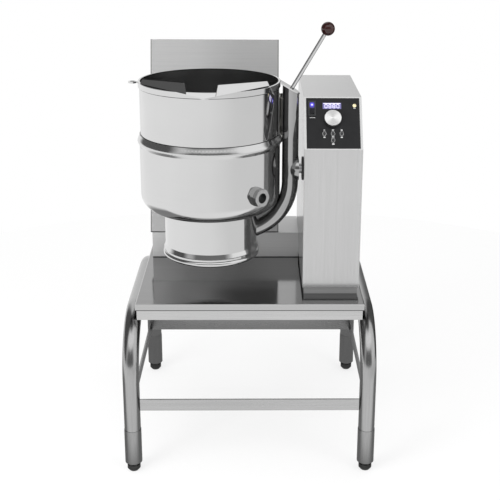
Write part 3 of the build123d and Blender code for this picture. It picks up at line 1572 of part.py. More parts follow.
def main():
    os.makedirs("parts", exist_ok=True)

    save("left_leg_frame", leg_frame(-leg_x))
    save("right_leg_frame", leg_frame(leg_x))
    save("top_rails", top_rail(front_top_rail_y), top_rail(rear_top_rail_y))
    save("front_cross_rail", front_low_rail())
    save("rear_cross_rail", rear_low_rail())
    save("side_rails", side_low_rail(leg_x), side_low_rail(-leg_x))
    plugs = [leg_plug(x, y) for x, y in leg_places()]
    save("leg_end_fittings", *[leg_sleeve(x, y) for x, y in leg_places()], *plugs)
    foot_names = ("front_left_foot", "front_right_foot", "rear_left_foot", "rear_right_foot")
    for name, (x, y) in zip(foot_names, leg_places()):
        save(name, bullet_foot(x, y))

    save("deck_pan", deck_pan())
    save("riser_box", riser_box())
    save("back_panel", back_panel())

    save("console_housing", console_housing())
    save("console_back_cover", console_back_cover())
    cover_screws = [cover_screw(x, z) for x, z in cover_screw_spots()]
    save("sheet_screws", *[panel_screw(x, y) for x, y in riser_screw_spots()], *cover_screws)
    save("console_plinth", console_plinth())
    save("control_overlay", control_overlay())
    save("display_window", display_window())
    save("switch_bezel", switch_bezel())
    save("power_rocker", power_rocker())
    save("encoder_shaft", encoder_shaft())
    save("control_knob", control_knob())
    for name, (u, v) in key_places.items():
        save(name, face_key(u, v))
    save("indicator_lamp", indicator_lamp())
    mounted = [*board_posts(), *key_switches(), display_module(), encoder_body()]
    save("control_board", control_board(), *mounted)
    save("contactor", contactor())
    save("terminal_strip", terminal_block(), din_rail())
    save("cable_gland", cable_gland())

    save("bearing_bracket", bearing_bracket())
    bearings = [trunnion_bearing(bearing_near_x), trunnion_bearing(bearing_far_x)]
    save("trunnion_bearings", *bearings, *bearing_bolts())
    save("tilt_stops", *stop_blocks())
    save("shaft_seal", shaft_seal())
    save("trunnion_shaft", trunnion_shaft())
    save("shaft_collar_and_stop_arm", shaft_collar(), stop_arm())

    save("bowl", bowl())
    save("rim_ring", rim_ring())
    save("pouring_beak", pouring_beak())
    left_end = beak_edge_length - left_guard_stop_short
    right_end = beak_edge_length - right_guard_stop_short
    left_guard = guard_plate(-1, left_guard_start, left_end)
    save("guard_plates", left_guard, guard_plate(1, right_guard_start, right_end))
    save("rim_eye", rim_eye())
    save("steam_jacket", steam_jacket())
    save("jacket_seam", jacket_seam())
    save("element_drum", element_drum())
    save("base_ring", base_ring())
    save("base_cover", base_cover())
    save("sump_plate", sump_plate())
    save("heating_elements", *heating_elements(), *water_probes())
    save("carrier_tube", carrier_tube())
    save("rim_bracket", rim_bracket())
    save("trunnion_boss", trunnion_boss())
    save("lever_rod", lever_rod())
    save("lever_ball", lever_ball())
    save("sight_glass_nut", sight_nut())
    save("sight_glass_lens", sight_lens())
    save("relief_valve", relief_nipple(), relief_valve(), relief_stem())
    save("relief_lever", relief_lever())


main()
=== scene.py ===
from math import atan2, cos, pi, radians, sin

import bmesh
import bpy
from mathutils import Matrix, Vector


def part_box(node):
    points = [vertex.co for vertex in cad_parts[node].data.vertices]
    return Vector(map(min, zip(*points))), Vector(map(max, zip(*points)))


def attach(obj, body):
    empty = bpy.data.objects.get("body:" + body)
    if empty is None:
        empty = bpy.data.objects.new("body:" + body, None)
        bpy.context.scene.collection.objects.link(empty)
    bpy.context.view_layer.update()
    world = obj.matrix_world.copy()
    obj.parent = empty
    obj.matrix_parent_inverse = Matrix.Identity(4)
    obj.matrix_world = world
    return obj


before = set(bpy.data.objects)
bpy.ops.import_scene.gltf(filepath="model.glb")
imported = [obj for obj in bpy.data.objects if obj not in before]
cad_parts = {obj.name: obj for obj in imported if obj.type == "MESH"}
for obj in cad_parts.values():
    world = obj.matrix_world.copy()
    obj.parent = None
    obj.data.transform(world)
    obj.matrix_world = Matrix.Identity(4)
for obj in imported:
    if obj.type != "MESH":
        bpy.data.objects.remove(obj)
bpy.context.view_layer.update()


# Leg frames: two stainless tubes, 50.8 mm across, each bent to an inverted U that stands
# front to rear.  They are belt-ground along the tube to a satin finish.
def grey(tone):
    """A colour with no hue."""
    return (tone, tone, tone)


def feed(tree, socket, value):
    """Gives a socket a number, a colour or the output of another node."""
    if isinstance(value, bpy.types.NodeSocket):
        tree.links.new(value, socket)
    elif isinstance(value, (int, float)):
        socket.default_value = value
    else:
        socket.default_value = (*value, 1)


def new_finish(name, colour, metallic, roughness):
    """A plain shader, with the surface's own place at hand."""
    finish = bpy.data.materials.new(name)
    finish.use_nodes = True
    tree = finish.node_tree
    shader = tree.nodes["Principled BSDF"]
    feed(tree, shader.inputs["Base Color"], colour)
    feed(tree, shader.inputs["Metallic"], metallic)
    feed(tree, shader.inputs["Roughness"], roughness)
    place = tree.nodes.new("ShaderNodeTexCoord").outputs["Object"]
    return finish, tree, shader, place


def cloud(tree, place, scale, detail, rough=0.55):
    """Noise that is stretched by a scale on each axis, in cycles per metre."""
    mapping = tree.nodes.new("ShaderNodeMapping")
    mapping.inputs["Scale"].default_value = scale
    tree.links.new(place, mapping.inputs["Vector"])
    noise = tree.nodes.new("ShaderNodeTexNoise")
    noise.inputs["Scale"].default_value = 1.0
    noise.inputs["Detail"].default_value = detail
    noise.inputs["Roughness"].default_value = rough
    tree.links.new(mapping.outputs["Vector"], noise.inputs["Vector"])
    return noise.outputs["Fac"]


def spread(tree, value, low, high, start=0.3, end=0.7):
    """Low where a value is at its start, high where it is at its end, and level beyond."""
    rule = tree.nodes.new("ShaderNodeMapRange")
    rule.inputs["From Min"].default_value = start
    rule.inputs["From Max"].default_value = end
    rule.inputs["To Min"].default_value = low
    rule.inputs["To Max"].default_value = high
    tree.links.new(value, rule.inputs["Value"])
    return rule.outputs["Result"]


def blend(tree, share, first, second, kind="RGBA"):
    """The first of two colours or values where the share is 0, and the second where it is 1."""
    mix = tree.nodes.new("ShaderNodeMix")
    mix.data_type = kind
    for name, value in (("Factor", share), ("A", first), ("B", second)):
        feed(tree, mix.inputs[name], value)
    return mix.outputs["Result"]


def calculate(tree, operation, first, second=0.0):
    """One step of arithmetic; each side is a number or a node's output."""
    step = tree.nodes.new("ShaderNodeMath")
    step.operation = operation
    feed(tree, step.inputs[0], first)
    feed(tree, step.inputs[1], second)
    return step.outputs[0]


def mixture(tree, *patterns):
    """Patterns added together, each by its share."""
    portions = [calculate(tree, "MULTIPLY", pattern, share) for pattern, share in patterns]
    total = portions[0]
    for portion in portions[1:]:
        total = calculate(tree, "ADD", total, portion)
    return total


def emboss(tree, shader, height, depth):
    """Fine relief in the surface, its depth in metres."""
    bump = tree.nodes.new("ShaderNodeBump")
    bump.inputs["Distance"].default_value = depth
    bump.inputs["Strength"].default_value = 1.0
    tree.links.new(height, bump.inputs["Height"])
    tree.links.new(bump.outputs["Normal"], shader.inputs["Normal"])


def brushed_steel(name, dark, light, roughness, grain, depth=0.0000015, mirror=1.0):
    """Ground stainless: long scratches one way over broad, faint changes of tone."""
    finish, tree, shader, place = new_finish(name, light, mirror, roughness)
    scratches = cloud(tree, place, grain, 5.0, 0.75)
    streaks = cloud(tree, place, [step * 0.2 for step in grain], 2.0, 0.6)
    drift = cloud(tree, place, (2.5, 2.5, 2.5), 1.0)
    tone = mixture(tree, (scratches, 0.45), (streaks, 0.3), (drift, 0.25))
    colour = blend(tree, spread(tree, tone, 0, 1, 0.35, 0.65), dark, light)
    tree.links.new(colour, shader.inputs["Base Color"])
    gloss = spread(tree, tone, roughness + 0.04, roughness - 0.03)
    tree.links.new(gloss, shader.inputs["Roughness"])
    emboss(tree, shader, scratches, depth)
    return finish


def dress(finish, *names):
    """Gives a finish to CAD nodes."""
    for name in names:
        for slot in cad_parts[name].material_slots:
            slot.material = finish


satin_upright = brushed_steel("satin_upright", grey(0.40), grey(0.48), 0.18, (900, 900, 12))
dress(satin_upright, "left_leg_frame", "right_leg_frame")

# Leg ends: a thin stainless sleeve over the foot of each leg, and a threaded plug that is
# pressed into the tube to take the levelling foot.
sleeve_satin = brushed_steel("sleeve_satin", grey(0.34), grey(0.43), 0.24, (500, 500, 30))
dress(sleeve_satin, "leg_end_fittings")

# Levelling feet: turned steel bullets with a hexagon, each on a stud that screws in and out
# of its leg's plug.  They are the darkest metal on the stand.
foot_steel = brushed_steel("foot_steel", grey(0.07), grey(0.19), 0.28, (60, 60, 900), 0.00001)
dress(foot_steel, "front_left_foot", "front_right_foot", "rear_left_foot", "rear_right_foot")

# Rails: flat bars on edge low between the legs and box rails under the deck, all stainless
# with the grain along their length, welded to the leg frames.
satin_across = brushed_steel("satin_across", grey(0.46), grey(0.56), 0.26, (12, 900, 900))
dress(satin_across, "front_cross_rail", "rear_cross_rail")
rail_bright = brushed_steel("rail_bright", grey(0.56), grey(0.66), 0.22, (12, 900, 900))
dress(rail_bright, "top_rails")
satin_along = brushed_steel("satin_along", grey(0.36), grey(0.46), 0.26, (900, 12, 900))
dress(satin_along, "side_rails")


# Deck: the stand's top, one sheet of bright stainless folded down all round.  The fold is painted
# pale at the front and the sides as a highlight, and the skirt's lower edge has a painted shade
# line where it meets the rails.
def axes(tree, place):
    """A place's X, Y and Z, each on its own."""
    apart = tree.nodes.new("ShaderNodeSeparateXYZ")
    tree.links.new(place, apart.inputs[0])
    return apart.outputs


def lay_over(finish, share, tone):
    """Lays a second tone over a finish, by a share from 0 to 1."""
    tree = finish.node_tree
    base = tree.nodes["Principled BSDF"].inputs["Base Color"]
    tree.links.new(blend(tree, share, base.links[0].from_socket, grey(tone)), base)


deck_bright = brushed_steel("deck_bright", grey(0.29), grey(0.34), 0.09, (8, 900, 900))
tree = deck_bright.node_tree
spot = axes(tree, tree.nodes["Texture Coordinate"].outputs["Object"])
deck_low, deck_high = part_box("deck_pan")
highlight_band_wide = 0.0045
skirt_share = 0.62
fold_top = deck_high.z - 0.0040
fold_foot = deck_high.z - 0.0060
shade_line_top = deck_low.z + 0.0026
shade_line_foot = deck_low.z + 0.0018
# Painted highlight: the outer edge of the fold, and less of the skirt below it, is made pale.
painted_edge_highlight = spread(tree, spot["Y"], 1, 0, deck_low.y + highlight_band_wide * 0.7, deck_low.y + highlight_band_wide)
for start, end in ((deck_low.x + highlight_band_wide, deck_low.x), (deck_high.x - highlight_band_wide, deck_high.x)):
    painted_edge_highlight = calculate(tree, "MAXIMUM", painted_edge_highlight, spread(tree, spot["X"], 0, 1, start, end))
fold_highlight_share = spread(tree, spot["Z"], skirt_share, 1.0, fold_foot, fold_top)
lay_over(deck_bright, calculate(tree, "MULTIPLY", painted_edge_highlight, fold_highlight_share), 0.66)
# Painted shade: the skirt's lowest couple of millimetres are made nearly black.
lay_over(deck_bright, spread(tree, spot["Z"], 1, 0, shade_line_foot, shade_line_top), 0.08)
dress(deck_bright, "deck_pan")

# Riser box: a folded box of satin sheet across the deck's rear, which carries the back panel.
# Its grain runs along it, and its ground surface is too coarse to mirror much.
riser_satin = brushed_steel(
    "riser_satin", grey(0.56), grey(0.62), 0.32, (10, 900, 900), mirror=0.42
)
dress(riser_satin, "riser_box")

# Back panel: a splash sheet of satin stainless that leans back on the riser box.  A fold down
# each side, with painted shade along it as a dark line.
panel_satin = brushed_steel(
    "panel_satin", grey(0.56), grey(0.62), 0.24, (10, 900, 900), mirror=0.45
)
tree = panel_satin.node_tree
spot = axes(tree, tree.nodes["Texture Coordinate"].outputs["Object"])
panel_low, panel_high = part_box("back_panel")
fold_shade_wide = 0.0030
fold_shade_core = fold_shade_wide * 0.6
left_fold_shade = spread(tree, spot["X"], 1, 0, panel_low.x + fold_shade_core, panel_low.x + fold_shade_wide)
right_fold_shade = spread(tree, spot["X"], 0, 1, panel_high.x - fold_shade_wide, panel_high.x - fold_shade_core)
# Painted shade: a dark band along each side edge of the panel.
lay_over(panel_satin, calculate(tree, "MAXIMUM", left_fold_shade, right_fold_shade), 0.10)
dress(panel_satin, "back_panel")

# Sheet screws: stainless pan heads that hold the back panel's foot to the riser box and the
# louvred cover to the console.
screw_steel = brushed_steel(
    "screw_steel", (0.42, 0.42, 0.43), (0.60, 0.60, 0.61), 0.25, (900, 900, 900)
)
dress(screw_steel, "sheet_screws")


# Foot shade strips: thin dark strips of painted shade along the joint between the deck and the
# riser box and along the one under the back panel's foot, cut square along both edges.
def plain_finish(name, dark, light, roughness, grain, depth, coat=0.0):
    """Moulded, painted or rubber stuff: a slight mottle in colour and gloss, and a fine grain."""
    finish, tree, shader, place = new_finish(name, light, 0.0, roughness)
    shader.inputs["Coat Weight"].default_value = coat
    speckle = cloud(tree, place, (grain, grain, grain), 3.0)
    mottle = cloud(tree, place, (25, 25, 25), 2.0)
    colour = blend(tree, spread(tree, mottle, 0, 1), dark, light)
    tree.links.new(colour, shader.inputs["Base Color"])
    gloss = spread(tree, mottle, roughness - 0.05, roughness + 0.07)
    tree.links.new(gloss, shader.inputs["Roughness"])
    emboss(tree, shader, speckle, depth)
    return finish


def small_bar(middle, size):
    """A thin square-edged bar."""
    bpy.ops.object.select_all(action="DESELECT")
    bpy.ops.mesh.primitive_cube_add(size=1, location=middle)
    block = bpy.context.object
    block.scale = size
    bpy.ops.object.transform_apply(location=False, rotation=False, scale=True)
    return block


def settle(piece, name, place, finish, body):
    """Names a finished piece, puts its place in its mesh and hands it to what carries it."""
    piece.name = name
    piece.data.name = name
    piece.data.transform(place @ piece.matrix_basis)
    piece.matrix_basis = Matrix()
    piece.data.materials.clear()
    piece.data.materials.append(finish)
    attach(piece, body)


shade_strip_dark = plain_finish(
    "shade_strip_dark", (0.020, 0.020, 0.021), (0.045, 0.045, 0.047), 0.5, 900, 0.00003
)
shade_strip_wide = 0.0024
panel_setback = 0.0055


def foot_shade_strip(name, left, right, face, level):
    """A strip from left to right at the foot of a sheet, whose face and level are given."""
    middle = ((left + right) / 2, face - shade_strip_wide * 0.3, level + shade_strip_wide * 0.4)
    strip = small_bar(middle, (right - left, shade_strip_wide * 0.8, shade_strip_wide))
    settle(strip, name, Matrix(), shade_strip_dark, "stand")


# Painted shade: near-black strips laid in the two joints.
riser_low, riser_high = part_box("riser_box")
foot_shade_strip("riser_foot_shade", riser_low.x, riser_high.x, riser_low.y, deck_high.z)
foot_shade_strip("panel_foot_shade", panel_low.x, panel_high.x, riser_low.y + panel_setback, riser_high.z)

# Console plinth: a recessed box of dull sheet, fixed to the deck, that carries the
# console a little above it.  Its dark tone is painted shade of the recess.
# Painted shade: the plinth's dark tone stands in for the shade in its recess.
plinth_painted_shade_steel = brushed_steel(
    "plinth_painted_shade_steel", grey(0.22), grey(0.28), 0.30, (12, 900, 900), mirror=0.3
)
dress(plinth_painted_shade_steel, "console_plinth")

# Console: an upright housing of folded satin sheet with a sloped face, closed at the back by a
# louvred cover.  It holds the trunnion's bearings and the controls.
console_satin = brushed_steel(
    "console_satin", grey(0.51), grey(0.58), 0.16, (900, 900, 8), mirror=0.80
)
dress(console_satin, "console_housing", "console_back_cover")

# Control overlay: a satin black plate on the sloped face, cut out for the controls.  Places are
# given across the face (u), up it (v) and out of it (w), from its lower left corner.
face_slope = radians(54.7)
face_corner = (0.1655, -0.1806, 1.0)
up_slope = Vector((0, cos(face_slope), sin(face_slope)))
off_face = Vector((0, -sin(face_slope), cos(face_slope)))
face_turn = Matrix((Vector((1, 0, 0)), up_slope, off_face)).transposed().to_4x4()
control_face = Matrix.Translation(face_corner) @ face_turn
overlay_face_w = 0.0015
overlay_black = plain_finish(
    "overlay_black", (0.010, 0.010, 0.011), (0.016, 0.016, 0.017), 0.38, 2500, 0.00002
)
overlay_shader = overlay_black.node_tree.nodes["Principled BSDF"]
overlay_shader.inputs["Specular IOR Level"].default_value = 0.22
dress(overlay_black, "control_overlay")


# Display: a tinted acrylic window with four lit seven-segment figures and a thin lit bar over
# them.  Each figure is six or seven short bars, all on one small board.
def joined(blocks):
    """Several blocks as one piece."""
    bpy.ops.object.select_all(action="DESELECT")
    for block in blocks:
        block.select_set(True)
    bpy.context.view_layer.objects.active = blocks[0]
    bpy.ops.object.join()
    bpy.ops.object.transform_apply(location=True, rotation=True, scale=True)
    return bpy.context.object


def lit_finish(name, colour, glow, strength):
    """A translucent lit plastic, with a slight grain in its glow."""
    finish, tree, shader, place = new_finish(name, colour, 0.0, 0.35)
    grain = cloud(tree, place, (900, 900, 900), 2.0)
    dim_glow = [part * 0.85 for part in glow]
    glow_colour = blend(tree, spread(tree, grain, 0, 1), dim_glow, glow)
    tree.links.new(glow_colour, shader.inputs["Emission Color"])
    shader.inputs["Emission Strength"].default_value = strength
    return finish


figure_glow = lit_finish("figure_glow", (0.55, 0.52, 0.75), (0.88, 0.86, 1.0), 1.0)
window_tint = lit_finish("window_tint", (0.06, 0.06, 0.13), (0.26, 0.23, 0.52), 0.62)
dress(window_tint, "display_window")
window_face_w = 0.0019
display_u = 0.0865
figure_v = 0.1432
top_bar_v = 0.1522
top_bar_wide = 0.0530
figure_pitch = 0.0122
figure_wide = 0.0072
figure_high = 0.0120
bar_wide = 0.0016
bar_thick = 0.0003
bar_lift = window_face_w + 0.0001
half_high = figure_high / 2
level_bars = [
    (0.0, rise, figure_wide - bar_wide, bar_wide) for rise in (-half_high, 0.0, half_high)
]
standing_bars = [
    (side * figure_wide / 2, rise * figure_high / 4, bar_wide, half_high - bar_wide)
    for side in (-1, 1)
    for rise in (-1, 1)
]
lit_bars = {
    "0": (level_bars[0], level_bars[2], *standing_bars),
    "8": (*level_bars, *standing_bars),
}
figures = []
for number, mark in enumerate("0880"):
    middle_u = display_u + (number - 1.5) * figure_pitch
    for u, v, wide, high in lit_bars[mark]:
        middle = (middle_u + u, figure_v + v, bar_lift)
        figures.append(small_bar(middle, (wide, high, bar_thick)))
top_bar_size = (top_bar_wide, bar_wide, bar_thick)
figures.append(small_bar((display_u, top_bar_v, bar_lift), top_bar_size))
settle(joined(figures), "display_figures", control_face, figure_glow, "stand")

# Power switch: a black moulded bezel that snaps into the overlay's cut-out and carries the
# rocker on its pin.
switch_black = plain_finish(
    "switch_black", (0.010, 0.010, 0.012), (0.018, 0.018, 0.020), 0.22, 1500, 0.00001
)
dress(switch_black, "switch_bezel")


# Rocker: clear black plastic that tips between ON and OFF, with a small lamp under its upper
# half that glows through it.
def measure(tree, operation, first, second=(0, 0, 0), result="Value"):
    """One step of vector arithmetic, from a node's output and a fixed vector."""
    step = tree.nodes.new("ShaderNodeVectorMath")
    step.operation = operation
    tree.links.new(first, step.inputs[0])
    step.inputs[1].default_value = second
    return step.outputs[result]


rocker_black, tree, shader, place = new_finish("rocker_black", (0.020, 0.020, 0.022), 0.0, 0.20)
lamp_spot = control_face @ Vector((0.025, 0.1470, 0.0035))
halo_start = 0.0015
halo_end = 0.0150
halo_fall = 2.2
halo_strength = 1.6
core_start = 0.0010
core_end = 0.0042
gap = measure(tree, "DISTANCE", place, lamp_spot)
halo = calculate(tree, "POWER", spread(tree, gap, 1, 0, halo_start, halo_end), halo_fall)
core = spread(tree, gap, 1, 0, core_start, core_end)
glow_colour = blend(tree, core, (0.10, 0.06, 0.95), (0.80, 0.78, 1.0))
tree.links.new(glow_colour, shader.inputs["Emission Color"])
glow_strength = calculate(tree, "MULTIPLY", halo, halo_strength)
tree.links.new(glow_strength, shader.inputs["Emission Strength"])
emboss(tree, shader, cloud(tree, place, (1500, 1500, 1500), 3.0), 0.00001)
dress(rocker_black, "power_rocker")

# Printed marks: screened white ink on the overlay, with an oval round each key, a plain
# stroke over and under it, and short rules under the switch and the lamp.
ink_high = 0.0001
ink_w = overlay_face_w + ink_high / 2
oval_wide = 0.0118
oval_high = 0.0152
oval_line = 0.0007


def oval_ring(middle_u, middle_v):
    """A thin flat oval outline in the control face's own measures."""
    bpy.ops.object.select_all(action="DESELECT")
    bpy.ops.mesh.primitive_circle_add(
        vertices=40, radius=0.5, fill_type="NGON", location=(0, 0, 0)
    )
    ring = bpy.context.object
    ring.scale = (oval_wide, oval_high, 1)
    bpy.ops.object.transform_apply(location=False, rotation=False, scale=True)
    bpy.ops.object.mode_set(mode="EDIT")
    bpy.ops.mesh.select_all(action="SELECT")
    bpy.ops.mesh.inset(thickness=oval_line, depth=0)
    bpy.ops.mesh.delete(type="FACE")
    bpy.ops.mesh.select_all(action="SELECT")
    bpy.ops.mesh.extrude_region_move(TRANSFORM_OT_translate={"value": (0, 0, ink_high)})
    bpy.ops.mesh.select_all(action="SELECT")
    bpy.ops.mesh.normals_make_consistent(inside=False)
    bpy.ops.object.mode_set(mode="OBJECT")
    ring.location = (middle_u, middle_v, overlay_face_w)
    return ring


left_u, middle_u, right_u = 0.0615, 0.0880, 0.1145
upper_v, lower_v = 0.0520, 0.0300
key_spots = ((left_u, upper_v), (middle_u, upper_v), (right_u, upper_v), (middle_u, lower_v))
marks = [oval_ring(u, v) for u, v in key_spots]
strokes = (
    (left_u, 0.0637, 0.0052, 0.0026),
    (left_u, 0.0400, 0.0060, 0.0036),
    (middle_u, 0.0637, 0.0064, 0.0034),
    (middle_u, 0.0411, 0.0080, 0.0026),
    (right_u, 0.0637, 0.0060, 0.0034),
    (right_u, 0.0400, 0.0064, 0.0036),
    (middle_u, 0.0178, 0.0074, 0.0040),
    (0.0260, 0.1045, 0.0170, 0.0018),
    (0.1560, 0.1365, 0.0066, 0.0022),
)
for u, v, wide, high in strokes:
    marks.append(small_bar((u, v, ink_w), (wide, high, ink_high)))
ink_white = plain_finish("ink_white", grey(0.50), grey(0.66), 0.5, 1500, 0.000002)
settle(joined(marks), "overlay_marks", control_face, ink_white, "stand")

# Control knob: spun aluminium with a turned face and a darker skirt.  The turning lines round
# its axis draw the light out into a fan.
knob_metal, tree, shader, place = new_finish("knob_metal", grey(0.88), 1.0, 0.34)
knob_face = control_face @ Vector((0.088, 0.099, 0.0164))
knob_inward = control_face.to_3x3() @ Vector((0, 0, -1))
skirt_start = 0.0016
skirt_end = 0.0024
outward = measure(tree, "SUBTRACT", place, knob_face, result="Vector")
tree.links.new(outward, shader.inputs["Tangent"])
shader.inputs["Anisotropic"].default_value = 0.93
turned_rings = tree.nodes.new("ShaderNodeTexNoise")
turned_rings.noise_dimensions = "1D"
turned_rings.inputs["Scale"].default_value = 1800.0
turned_rings.inputs["Detail"].default_value = 3.0
tree.links.new(measure(tree, "LENGTH", outward), turned_rings.inputs["W"])
rings = turned_rings.outputs["Fac"]
depth_below = measure(tree, "DOT_PRODUCT", outward, knob_inward)
skirt = spread(tree, depth_below, 0, 1, skirt_start, skirt_end)
face_tone = blend(tree, spread(tree, rings, 0, 1), grey(0.78), grey(0.92))
tree.links.new(blend(tree, skirt, face_tone, grey(0.20)), shader.inputs["Base Color"])
emboss(tree, shader, rings, 0.000004)
dress(knob_metal, "control_knob")

# Encoder shaft: turned steel, from the knob through the overlay to the encoder on the control
# board.
turned_steel = brushed_steel(
    "turned_steel", (0.42, 0.42, 0.43), (0.56, 0.56, 0.57), 0.27, (900, 60, 60)
)
dress(turned_steel, "encoder_shaft")

# Keys: four oval push keys of dark moulded plastic, which stand proud of the overlay and sink
# a little when pressed.
key_plastic = plain_finish(
    "key_plastic", (0.020, 0.020, 0.022), (0.034, 0.034, 0.036), 0.40, 1800, 0.00001
)
dress(key_plastic, "key_left", "key_middle", "key_right", "key_lower")

# Indicator lamp: a domed diffusing lens of amber plastic in its own ring, pushed in through
# the overlay.
lamp_lens = plain_finish(
    "lamp_lens", (0.80, 0.70, 0.40), (0.95, 0.88, 0.62), 0.25, 900, 0.00001, coat=0.4
)
dress(lamp_lens, "indicator_lamp")

# Electronics inside the console: the green control board behind the overlay, and the contactor
# and terminal strip in their moulded cases on one rail.
board_green = plain_finish(
    "board_green", (0.02, 0.12, 0.05), (0.03, 0.17, 0.08), 0.35, 900, 0.00002
)
dress(board_green, "control_board")
contactor_case = plain_finish(
    "contactor_case", (0.05, 0.05, 0.055), (0.08, 0.08, 0.085), 0.5, 1500, 0.00003
)
dress(contactor_case, "contactor")
terminal_case = plain_finish(
    "terminal_case", (0.34, 0.35, 0.36), (0.42, 0.43, 0.44), 0.5, 1500, 0.00003
)
dress(terminal_case, "terminal_strip")

# Cable gland: black moulded nylon, screwed through the console's back cover, where the supply
# cord would come in.
gland_nylon = plain_finish(
    "gland_nylon", (0.015, 0.015, 0.016), (0.028, 0.028, 0.030), 0.5, 1500, 0.00003
)
dress(gland_nylon, "cable_gland")

# Trunnion bearings: two cast iron pillow blocks, bolted to a painted steel bracket that is
# welded inside the console.
bracket_paint = plain_finish(
    "bracket_paint", (0.14, 0.15, 0.17), (0.18, 0.19, 0.21), 0.45, 1200, 0.00004
)
dress(bracket_paint, "bearing_bracket")
cast_iron = plain_finish("cast_iron", (0.06, 0.06, 0.07), (0.10, 0.10, 0.11), 0.55, 500, 0.0001)
dress(cast_iron, "trunnion_bearings")

# Bowl: spun stainless with a round bottom, buffed outside, and ground inside to a satin
# that is scoured after every batch.  The inside is painted a darker tone than the outside, a
# painted dark reflection.
kettle_axis = (-0.1241, -0.1006)
inner_wall_r = 0.2123
wall_fade = 0.0002


def from_axis(tree, spot, middle):
    """How far a place is from an upright axis."""
    sides = [calculate(tree, "SUBTRACT", spot[axis], line) for axis, line in zip("XY", middle)]
    squares = [calculate(tree, "MULTIPLY", side, side) for side in sides]
    return calculate(tree, "SQRT", calculate(tree, "ADD", *squares))


bowl_steel, tree, shader, place = new_finish("bowl_steel", grey(0.69), 1.0, 0.09)
reach = from_axis(tree, axes(tree, place), kettle_axis)
outside = spread(tree, reach, 0, 1, inner_wall_r - wall_fade, inner_wall_r + wall_fade)
scour = cloud(tree, place, (12, 12, 900), 3.0, 0.6)
haze = cloud(tree, place, (5, 5, 5), 2.0)
# Painted reflection: the inside tone is darker than the outside.
inside_painted_dark_tone = blend(tree, spread(tree, scour, 0, 1), grey(0.44), grey(0.52))
outside_tone = blend(tree, spread(tree, haze, 0, 1), grey(0.67), grey(0.71))
tree.links.new(blend(tree, outside, inside_painted_dark_tone, outside_tone), shader.inputs["Base Color"])
tree.links.new(spread(tree, outside, 0.24, 0.08, 0, 1), shader.inputs["Roughness"])
dress(bowl_steel, "bowl")


# Rim, beak, jacket and base: mirror-polished stainless, spun or rolled, welded to the bowl and
# then buffed all over.  The guards and the eye stand on the rim, the drum hangs below.
def polished_steel(name, dark, light, roughness):
    """Buffed stainless: faint haze and a trace of the spinning lines."""
    finish, tree, shader, place = new_finish(name, light, 1.0, roughness)
    haze = cloud(tree, place, (5, 5, 5), 2.0)
    lines = cloud(tree, place, (2, 2, 900), 3.0)
    tone = mixture(tree, (haze, 0.7), (lines, 0.3))
    colour = blend(tree, spread(tree, tone, 0, 1), dark, light)
    tree.links.new(colour, shader.inputs["Base Color"])
    gloss = spread(tree, tone, roughness + 0.03, roughness - 0.02)
    tree.links.new(gloss, shader.inputs["Roughness"])
    emboss(tree, shader, lines, 0.0000001)
    return finish


kettle_polish = polished_steel("kettle_polish", grey(0.68), grey(0.71), 0.06)
dress(kettle_polish, "rim_ring", "pouring_beak", "guard_plates", "rim_eye")
dress(kettle_polish, "steam_jacket", "element_drum", "base_ring")

# Jacket seam: the rolled band where the jacket is welded to the bowl, buffed by hand and so
# not quite as sharp a mirror as the sheets.
seam_polish = polished_steel("seam_polish", grey(0.66), grey(0.70), 0.13)
dress(seam_polish, "jacket_seam")

# Kettle welds: the thin beads where the rim ring and the jacket's top meet the bowl, with a
# slight uneven ripple.  They are ground low, and their near-black tone is a painted dark
# reflection line along each edge.
bowl_outer_r = 0.2138
bead_segments = 256
ripple_count = 720
ripple_step = 1.0006
# Painted reflection: the near-black weld steel draws dark lines round the rim and the seam.
weld_painted_dark_steel = brushed_steel("weld_painted_dark_steel", grey(0.06), grey(0.14), 0.30, (200, 200, 200))


def weld_bead(name, ring_r, level, thick):
    """A thin welded ring round the kettle's axis, its rippled places a little wider."""
    middle = (*kettle_axis, level)
    bpy.ops.object.select_all(action="DESELECT")
    bpy.ops.mesh.primitive_torus_add(
        major_radius=ring_r, minor_radius=thick, major_segments=bead_segments,
        minor_segments=8, location=middle,
    )
    bead = bpy.context.object
    bpy.ops.object.transform_apply(location=True, rotation=False, scale=False)
    bpy.ops.object.mode_set(mode="EDIT")
    bpy.ops.mesh.select_all(action="DESELECT")
    mesh = bmesh.from_edit_mesh(bead.data)
    for vert in mesh.verts:
        turn = atan2(vert.co.y - middle[1], vert.co.x - middle[0]) / (2 * pi) * ripple_count
        vert.select_set(round(turn) % 2 == 0)
    mesh.select_flush_mode()
    bmesh.update_edit_mesh(bead.data)
    bpy.ops.transform.resize(value=(ripple_step, ripple_step, 1), center_override=middle)
    bpy.ops.object.mode_set(mode="OBJECT")
    bpy.ops.object.shade_smooth()
    settle(bead, name, Matrix(), weld_painted_dark_steel, "kettle")


rim_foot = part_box("rim_ring")[0].z
seam_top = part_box("jacket_seam")[1].z
weld_bead("rim_weld_dark_line", bowl_outer_r + 0.0008, rim_foot - 0.0006, 0.0011)
weld_bead("jacket_weld_dark_line", bowl_outer_r + 0.0016, seam_top + 0.0002, 0.0008)

# Underside and inside of the base: a flat cover and a sump plate, dull from the rolling mill,
# with the dark sheathed heating elements between them.
mill_steel = brushed_steel("mill_steel", grey(0.20), grey(0.28), 0.35, (12, 400, 400), 0.00001)
dress(mill_steel, "base_cover", "sump_plate")
element_sheath = brushed_steel(
    "element_sheath", (0.20, 0.19, 0.18), (0.30, 0.28, 0.26), 0.42, (300, 300, 300)
)
dress(element_sheath, "heating_elements")

